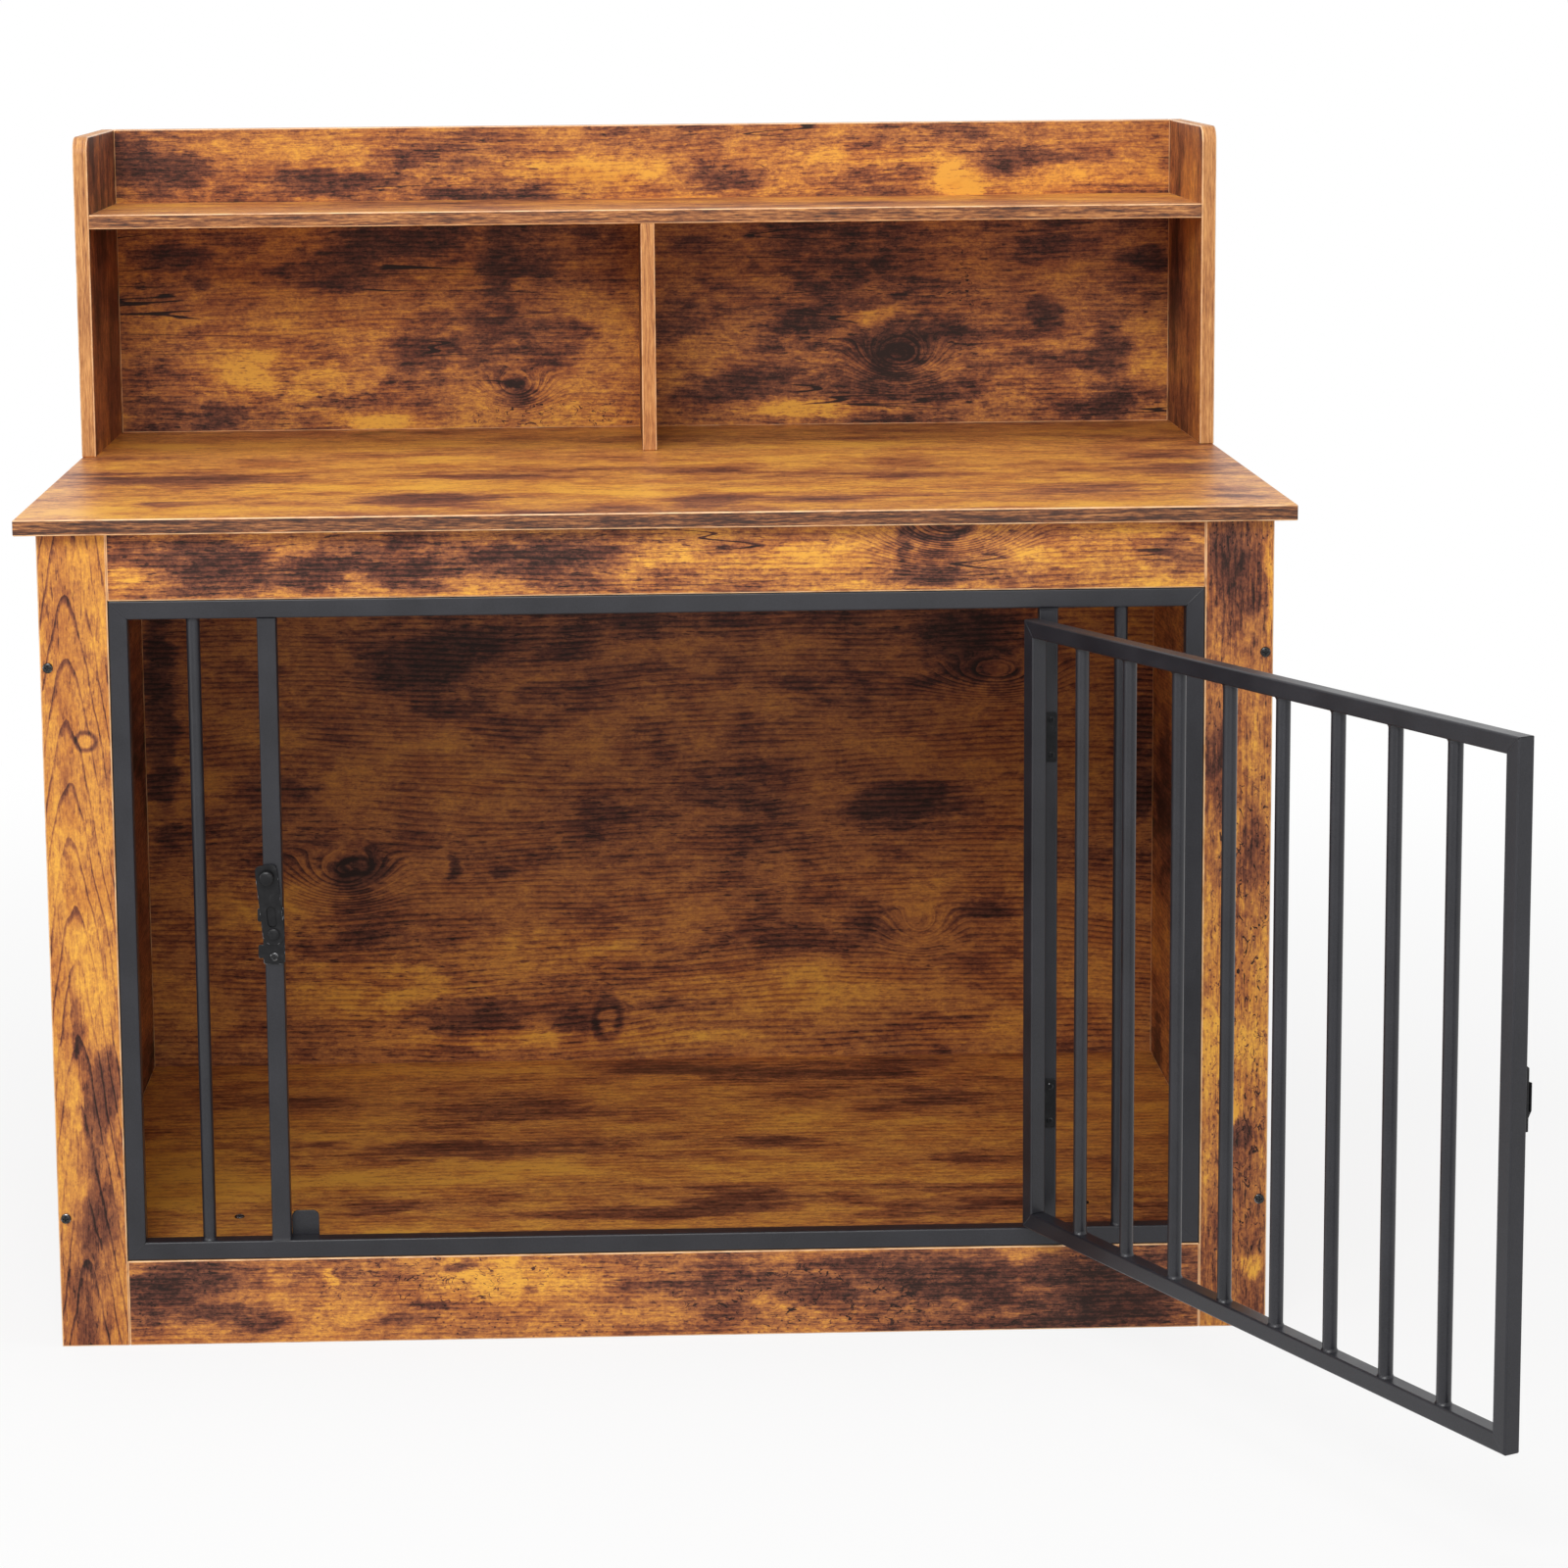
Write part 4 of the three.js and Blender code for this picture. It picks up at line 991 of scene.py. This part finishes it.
def stop_plate(node):
    """The plate behind the lower tube that the shut door rests on."""
    low, high = box_of(node)
    outline = rectangle(low[[X, Z]], high[[X, Z]], STOP_CORNER, 8)
    shape = front_plate(outline, -high[Y], -low[Y], STOP_ARRIS)
    coated(f"{node}_coated", [shape], [node])


stop_plate("door_stop_plate")

# ---- screws

def screw_rows(radius, height):
    """A pan head from its rim to its middle, with a cross recess.

    At radius r the head's height is h0 + rise sqrt(1 - (r/R)^2), less the recess's depth
    where the point lies within either arm of the cross."""
    arm, reach, depth = 0.13 * radius, 0.62 * radius, 0.62 * height
    radii = np.r_[radius * np.array([0.55, 0.97, 1.0, 1.0]),
                  radius * np.linspace(0.985, 0.05, 22)]
    base = np.r_[0.0, 0.0, 0.02 * height, 0.3 * height, np.zeros(22)]
    angle = np.linspace(0, 2 * np.pi, 72, endpoint=False)
    r, a = np.meshgrid(radii, angle, indexing="ij")
    x, y = r * np.cos(a), r * np.sin(a)
    top = 0.3 * height + 0.7 * height * np.sqrt(np.clip(1 - (r / radius) ** 2, 0, 1))

    def arm_mask(u, v):
        inside = np.clip((arm - np.abs(u)) / (0.35 * arm), 0, 1)
        length = np.clip((reach - np.abs(v)) / (0.25 * reach), 0, 1)
        return np.minimum(inside, length)

    cross = np.maximum(arm_mask(x, y), arm_mask(y, x))
    z = np.where(np.arange(len(radii))[:, None] < 4, base[:, None], top - depth * cross)
    return np.stack([x, y, z], -1)


def screw(radius, height, shank, length, axis, at):
    """A pan-head screw with a cross recess, standing along an axis, and its pointed shank.

    The shank's radius at a share s of its length is R (1 + 0.1 sin(turns s)), drawn in to its
    point over the last two and a half radii."""
    # Gaps 3 to 6, round the rim of the dome, are worn steel set there also as a painted glint.
    head = skin(screw_rows(radius, height), [0] * 3 + [1] * 4 + [0] * 18, ends="pole")
    turns = np.linspace(0, 1, 90)
    thread = shank * (1 + 0.10 * np.sin(2 * np.pi * turns * length / THREAD_PITCH))
    taper = np.clip((1 - turns) * length / (2.5 * shank), 0.08, 1)
    profile = np.stack([thread * taper, 0.2 * MM - turns * length], -1)
    body = skin(turned_rows(profile, 16), ends="pole")
    place = standing(axis, at)
    return [moved(head, place), moved(body, place)]


def hardware(node, shapes, finishes, body="crate", place=None):
    """A blackened piece that stands for its CAD node."""
    piece(f"{node}_blackened", shapes, finishes, body, [node], place)


# Which way each kind of case screw's head faces, and what tells a side's two apart.
CASE_SCREWS = {"stile": (-BACK, ("lower", "upper")), "floor": (UP, ("front", "rear")),
               "hutch": (-UP, ("front", "rear"))}


def case_screw(node, axis):
    """A screw whose head ends where its CAD node does."""
    low, high = box_of(node)
    run = int(np.argmax(np.abs(axis)))
    seat = (low + high) / 2
    head_end = high[run] if axis[run] > 0 else low[run]
    seat[run] = head_end - axis[run] * CASE_SCREW[1]
    hardware(node, screw(*CASE_SCREW, axis, seat), [screw_black, worn_and_glint])


for kind, (axis, ends) in CASE_SCREWS.items():
    for side in ("left", "right"):
        for end in ends:
            case_screw(f"{side}_{kind}_screw_{end}", axis)

# ---- hinges

def rounded_cylinder(radius, low, high, rounding):
    """A cylinder along +Z whose rims are rounded by a quarter circle."""
    inset, height = arris_rows(low, high, rounding, 4)
    return skin(turned_rows(np.stack([radius - inset, height], -1), 40))


def leaf(knuckles):
    """A hinge leaf to the right of the pin axis, which runs through the origin: its plate,
    its screws' heads, and a knuckle with its strap for each span of heights."""
    outline = rectangle((LEAF_START, -LEAF_H / 2), (LEAF_END, LEAF_H / 2), LEAF_CORNER, 5)
    shapes = [front_plate(outline, -PIN_PROUD, LEAF_T - PIN_PROUD, LEAF_ARRIS)]
    for low, high in knuckles:
        shapes.append(rounded_cylinder(KNUCKLE_R, low, high, KNUCKLE_ARRIS))
        strap = rectangle((STRAP_START, low), (LEAF_START + LEAF_T, high), STRAP_CORNER, 3)
        back = -(PIN_PROUD - KNUCKLE_GAP)
        shapes.append(front_plate(strap, back, back + LEAF_T, STRAP_ARRIS))
    for z in (-LEAF_SCREW_Z, LEAF_SCREW_Z):
        at = np.array([LEAF_SCREW_X, PIN_PROUD - LEAF_T, z])
        shapes.append(screw(*LEAF_SCREW, -BACK, at)[0])
    return shapes


def hinge(level):
    """A hinge's two leaves and its pin. The post's leaf has the outer knuckles, and the
    door's leaf, turned half round the pin's middle, has the one between them."""
    half, sixth = LEAF_H / 2, LEAF_H / 6
    outer = [(-half, -sixth - KNUCKLE_GAP / 2), (sixth + KNUCKLE_GAP / 2, half)]
    middle = [(KNUCKLE_GAP / 2 - sixth, sixth - KNUCKLE_GAP / 2)]
    low, high = box_of(f"{level}_hinge_post_leaf")
    at = np.array([pin_axis[X], pin_axis[Y], (low[Z] + high[Z]) / 2])
    here, half_turn = basis(RIGHT, BACK, UP, at), basis(-RIGHT, BACK, -UP, at)
    hardware(f"{level}_hinge_post_leaf", leaf(outer), [black, worn_and_glint], place=here)
    hardware(f"{level}_hinge_door_leaf", [moved(shape, half_turn) for shape in leaf(middle)],
             [black, worn_and_glint], "door", door_open)
    cap = dome_profile(PIN_CAP_R, half, PIN_CAP_H, 6)
    profile = np.vstack([cap[::-1] * [1, -1], [[PIN_R, -half], [PIN_R, half]], cap])
    pin = skin(turned_rows(profile, 24), ends="pole")
    hardware(f"{level}_hinge_pin", [pin], [black], place=here)


hinge("lower")
hinge("upper")

# ---- latch

def latch_plate():
    """The plate behind the lever, with two lugs on its left."""
    outline = fillets(np.array(PLATE_CORNERS) * MM, np.array(PLATE_RADII) * MM, 6)
    # Its front arris, gaps 4 to 6, is worn steel set there also as a painted glint.
    shape = front_plate(outline, 0, PLATE_T, PLATE_ARRIS, [0] * 4 + [1] * 3)
    hardware("latch_plate", [shape], [black, worn_and_glint], place=basis(RIGHT, BACK, UP, latch_pivot))


def radial(outline, centre, angles):
    """An outline sampled at angles about a centre inside it, with its normals."""
    points, normals = outline
    offset = points - centre
    angle = np.arctan2(offset[:, 1], offset[:, 0]) % (2 * np.pi)
    order = np.argsort(angle)
    angle = angle[order]
    columns = np.c_[points, normals][order]
    wrapped = [np.interp(angles, angle, columns[:, k], period=2 * np.pi) for k in range(4)]
    return np.stack(wrapped[:2], -1), np.stack(wrapped[2:], -1)


def dense(outline):
    """The same outline with forty points for every one."""
    points, normals = outline
    share = np.linspace(0, 1, 40, endpoint=False)[None, :, None]
    after, after_n = np.roll(points, -1, 0), np.roll(normals, -1, 0)
    return ((points[:, None] * (1 - share) + after[:, None] * share).reshape(-1, 2),
            (normals[:, None] * (1 - share) + after_n[:, None] * share).reshape(-1, 2))


def latch_lever():
    """The lever: a plate between its outline and its slot, and the knob riveted to it."""
    outer = rectangle((-LEVER_HALF, -LEVER_HALF), (LEVER_HALF, LEVER_TOP),
                      [LEVER_FOOT] * 2 + [LEVER_TIP] * 2, 16)
    slot = rectangle(SLOT_LOW, SLOT_HIGH, SLOT_CORNER, 12)
    centre = (np.array(SLOT_LOW) + SLOT_HIGH) / 2
    angles = np.linspace(0, 2 * np.pi, 180, endpoint=False)
    outer_points, outer_normals = radial(dense(outer), centre, angles)
    slot_points, slot_normals = radial(dense(slot), centre, angles)
    inset, height = arris_rows(LEVER_BACK, LEVER_FACE, LEVER_ARRIS, 3)
    rim = outer_points[None] - inset[:, None, None] * outer_normals[None]
    hole = slot_points[None] + inset[::-1][:, None, None] * slot_normals[None]
    plan = np.concatenate([rim, hole])
    heights = np.r_[height, height[::-1]]
    rows = np.empty(plan.shape[:2] + (3,))
    rows[..., X], rows[..., Z] = plan[..., 0], plan[..., 1]
    rows[..., Y] = -heights[:, None]
    # Gaps 8 to 14, the slot's arrises and wall, are dead black: painted shade.
    gaps = [0] * 4 + [1] * 3 + [0] + [2] * 7 + [0]
    # Gaps 4 to 6, the front arris round the outline, are worn steel set there also as a painted
    # glint.
    plate = skin(rows, gaps, ends="ring")
    foot, top = LEVER_FACE - 0.65 * MM, LEVER_FACE + KNOB_H
    profile = np.vstack([[[KNOB_R, foot], [KNOB_R, top - 0.6 * MM]],
                         dome_profile(KNOB_R, top - 0.4 * MM, 2.0 * MM)])
    knob = moved(skin(turned_rows(profile, 40), ends="pole"),
                 standing(-BACK, (0, 0, KNOB_Z)))
    cos, sin = math.cos(LEVER_TILT), math.sin(LEVER_TILT)
    tilted = basis((cos, 0, -sin), BACK, (sin, 0, cos), latch_pivot)
    hardware("latch_lever", [plate, knob], [black, worn_and_glint, slot_shade], "latch_lever", tilted)


def latch_rivet():
    """The rivet that the lever turns on: its shank, and a domed head in front of the lever."""
    seat = LEVER_FACE + 0.3 * MM
    profile = np.vstack([
        [[RIVET_R, -RIVET_DEPTH], [RIVET_R, seat], [RIVET_HEAD_R - 0.2 * MM, seat]],
        dome_profile(RIVET_HEAD_R, seat + 0.5 * MM, 1.7 * MM)])
    hardware("latch_rivet", [skin(turned_rows(profile, 40), ends="pole")], [black],
             place=standing(-BACK, latch_pivot))


def latch_screw():
    """The screw through the foot of the latch's plate."""
    at = latch_pivot + np.array([0, -PLATE_T, -LATCH_SCREW_DROP])
    hardware("latch_screw", screw(*LATCH_SCREW, -BACK, at), [screw_black, worn_and_glint])


def door_keeper():
    """The keeper's side profile, how far out against height, carried across its width."""
    low, high = box_of("door_keeper", door_open)
    half, slope = (high[Z] - low[Z]) / 2, LEDGE_Z + 0.6 * MM
    corners = [(0, -half), (PLATE_T, -half), (PLATE_T, slope - 5.7 * MM), (LIP_FACE, slope),
               (LIP_FACE, LIP_TOP), (LIP_BACK, LIP_TOP), (LIP_BACK, LEDGE_Z),
               (PLATE_T, LEDGE_Z), (PLATE_T, half - 2 * MM), (0, half)]
    radii = np.array([0.2, 0.6, 1.0, 0.8, 0.4, 0.4, 0.3, 0.3, 0.6, 0.3]) * MM
    rows = plate_rows(fillets(corners, radii, 4), low[X], high[X], 0.25 * MM, 3)
    middle = (low[Z] + high[Z]) / 2
    placed = np.stack([rows[..., 2], high[Y] - rows[..., 0], middle + rows[..., 1]], -1)
    hardware("door_keeper", [skin(placed)], [black], "door", door_open)


latch_plate()
latch_lever()
latch_rivet()
latch_screw()
door_keeper()

# ---- camera, light and floor

CAMERA_AT = (-0.05413, -3.75527, 1.28084)
CAMERA_YAW, CAMERA_PITCH, CAMERA_ROLL = (math.radians(a) for a in (-1.508, 8.463, -0.517))
CAMERA_SHIFT = (0.05, -0.12)
SENSOR = 36
FOCAL_PIXELS, PHOTO_PIXELS = 4111.41, 1600

# Soft boxes: place, target, width, height and power in watts.
LIGHTS = {
    "key": ((-0.7, -3.1, 2.8), (0, 0.1, 0.6), 2.2, 1.5, 92),
    "overhead": ((-0.1, 0.12, 3.1), (0, 0.3, 0.8), 2.0, 0.8, 27),
    "fill": ((0.9, -3.6, 0.9), (0, 0.3, 0.3), 1.6, 1.0, 9),
    "strip": ((-3.0, -1.8, 1.3), (0.3, 0, 0.5), 0.3, 2.4, 15),
}
WHITE = (1, 1, 1)
ROOM_COLOUR, ROOM_STRENGTH = (1, 0.99, 0.97), 0.36

FLOOR_HALF = 14.0
FLOOR_DROP = 0.5 * MM
FLOOR_COLOUR = (0.82, 0.82, 0.82)
FLOOR_FADE = (1.0, 3.2, 0.84, 1.0)  # from and to this far out, from and to this much white


def camera():
    """The camera, turned by yaw, then pitch, then roll from looking along +Y."""
    yaw, pitch, roll = CAMERA_YAW, CAMERA_PITCH, CAMERA_ROLL
    right = np.array([math.cos(yaw), math.sin(yaw), 0])
    level = np.array([-math.sin(yaw), math.cos(yaw), 0])
    ahead = level * math.cos(pitch) - UP * math.sin(pitch)
    above = UP * math.cos(pitch) + level * math.sin(pitch)
    side = right * math.cos(roll) + above * math.sin(roll)
    top = above * math.cos(roll) - right * math.sin(roll)
    data = bpy.data.cameras.new("camera")
    data.sensor_width = SENSOR
    data.lens = FOCAL_PIXELS / PHOTO_PIXELS * SENSOR
    data.shift_x, data.shift_y = CAMERA_SHIFT
    made = bpy.data.objects.new("camera", data)
    bpy.context.scene.collection.objects.link(made)
    made.matrix_world = Matrix(basis(side, top, -ahead, CAMERA_AT).tolist())
    bpy.context.scene.camera = made


def softbox(name, at, target, width, height, power):
    """A rectangular lamp aimed at a target."""
    data = bpy.data.lights.new(name, "AREA")
    data.shape, data.size, data.size_y, data.energy = "RECTANGLE", width, height, power
    made = bpy.data.objects.new(name, data)
    made.location = at
    aim = Vector(target) - Vector(at)
    made.rotation_euler = aim.to_track_quat("-Z", "Y").to_euler()
    bpy.context.scene.collection.objects.link(made)


def background_rays(finish):
    """1 for rays that should see the white background: camera, glossy and transmission."""
    paths = finish.node("ShaderNodeLightPath")
    seen = paths.out("Is Camera Ray").larger(paths.out("Is Glossy Ray"))
    return seen.larger(paths.out("Is Transmission Ray"))


def floor():
    """A pale floor that keeps the object's shadow and fades to the white background."""
    mesh = bpy.data.meshes.new("floor")
    corners = [(-1, -1), (1, -1), (1, 1), (-1, 1)]
    mesh.from_pydata([(x * FLOOR_HALF, y * FLOOR_HALF, -FLOOR_DROP) for x, y in corners],
                     [], [(0, 1, 2, 3)])
    finish = Finish("pale_floor")
    faded = background_rays(finish) * finish.length(finish.place()).step(*FLOOR_FADE)
    matte = finish.node("ShaderNodeBsdfDiffuse", {}, {"Color": FLOOR_COLOUR})
    white = finish.node("ShaderNodeEmission", {}, {"Color": WHITE, "Strength": 1.0})
    mixed = finish.node("ShaderNodeMixShader", {}, {0: faded, 1: matte, 2: white})
    finish.node("ShaderNodeOutputMaterial", {}, {"Surface": mixed})
    mesh.materials.append(finish.made)
    made = bpy.data.objects.new("floor", mesh)
    bpy.context.scene.collection.objects.link(made)


def world():
    """White where the background is seen, and a soft plain light everywhere else."""
    studio = Finish("studio", "worlds")
    bpy.context.scene.world = studio.made
    white = studio.node("ShaderNodeBackground", {}, {"Color": WHITE, "Strength": 1.0})
    soft = studio.node("ShaderNodeBackground", {},
                       {"Color": ROOM_COLOUR, "Strength": ROOM_STRENGTH})
    mixed = studio.node("ShaderNodeMixShader", {},
                        {0: background_rays(studio), 1: soft, 2: white})
    studio.node("ShaderNodeOutputWorld", {}, {"Surface": mixed})


camera()
floor()
world()
for name, settings in LIGHTS.items():
    softbox(name, *settings)
bpy.context.scene.view_settings.view_transform = "Standard"
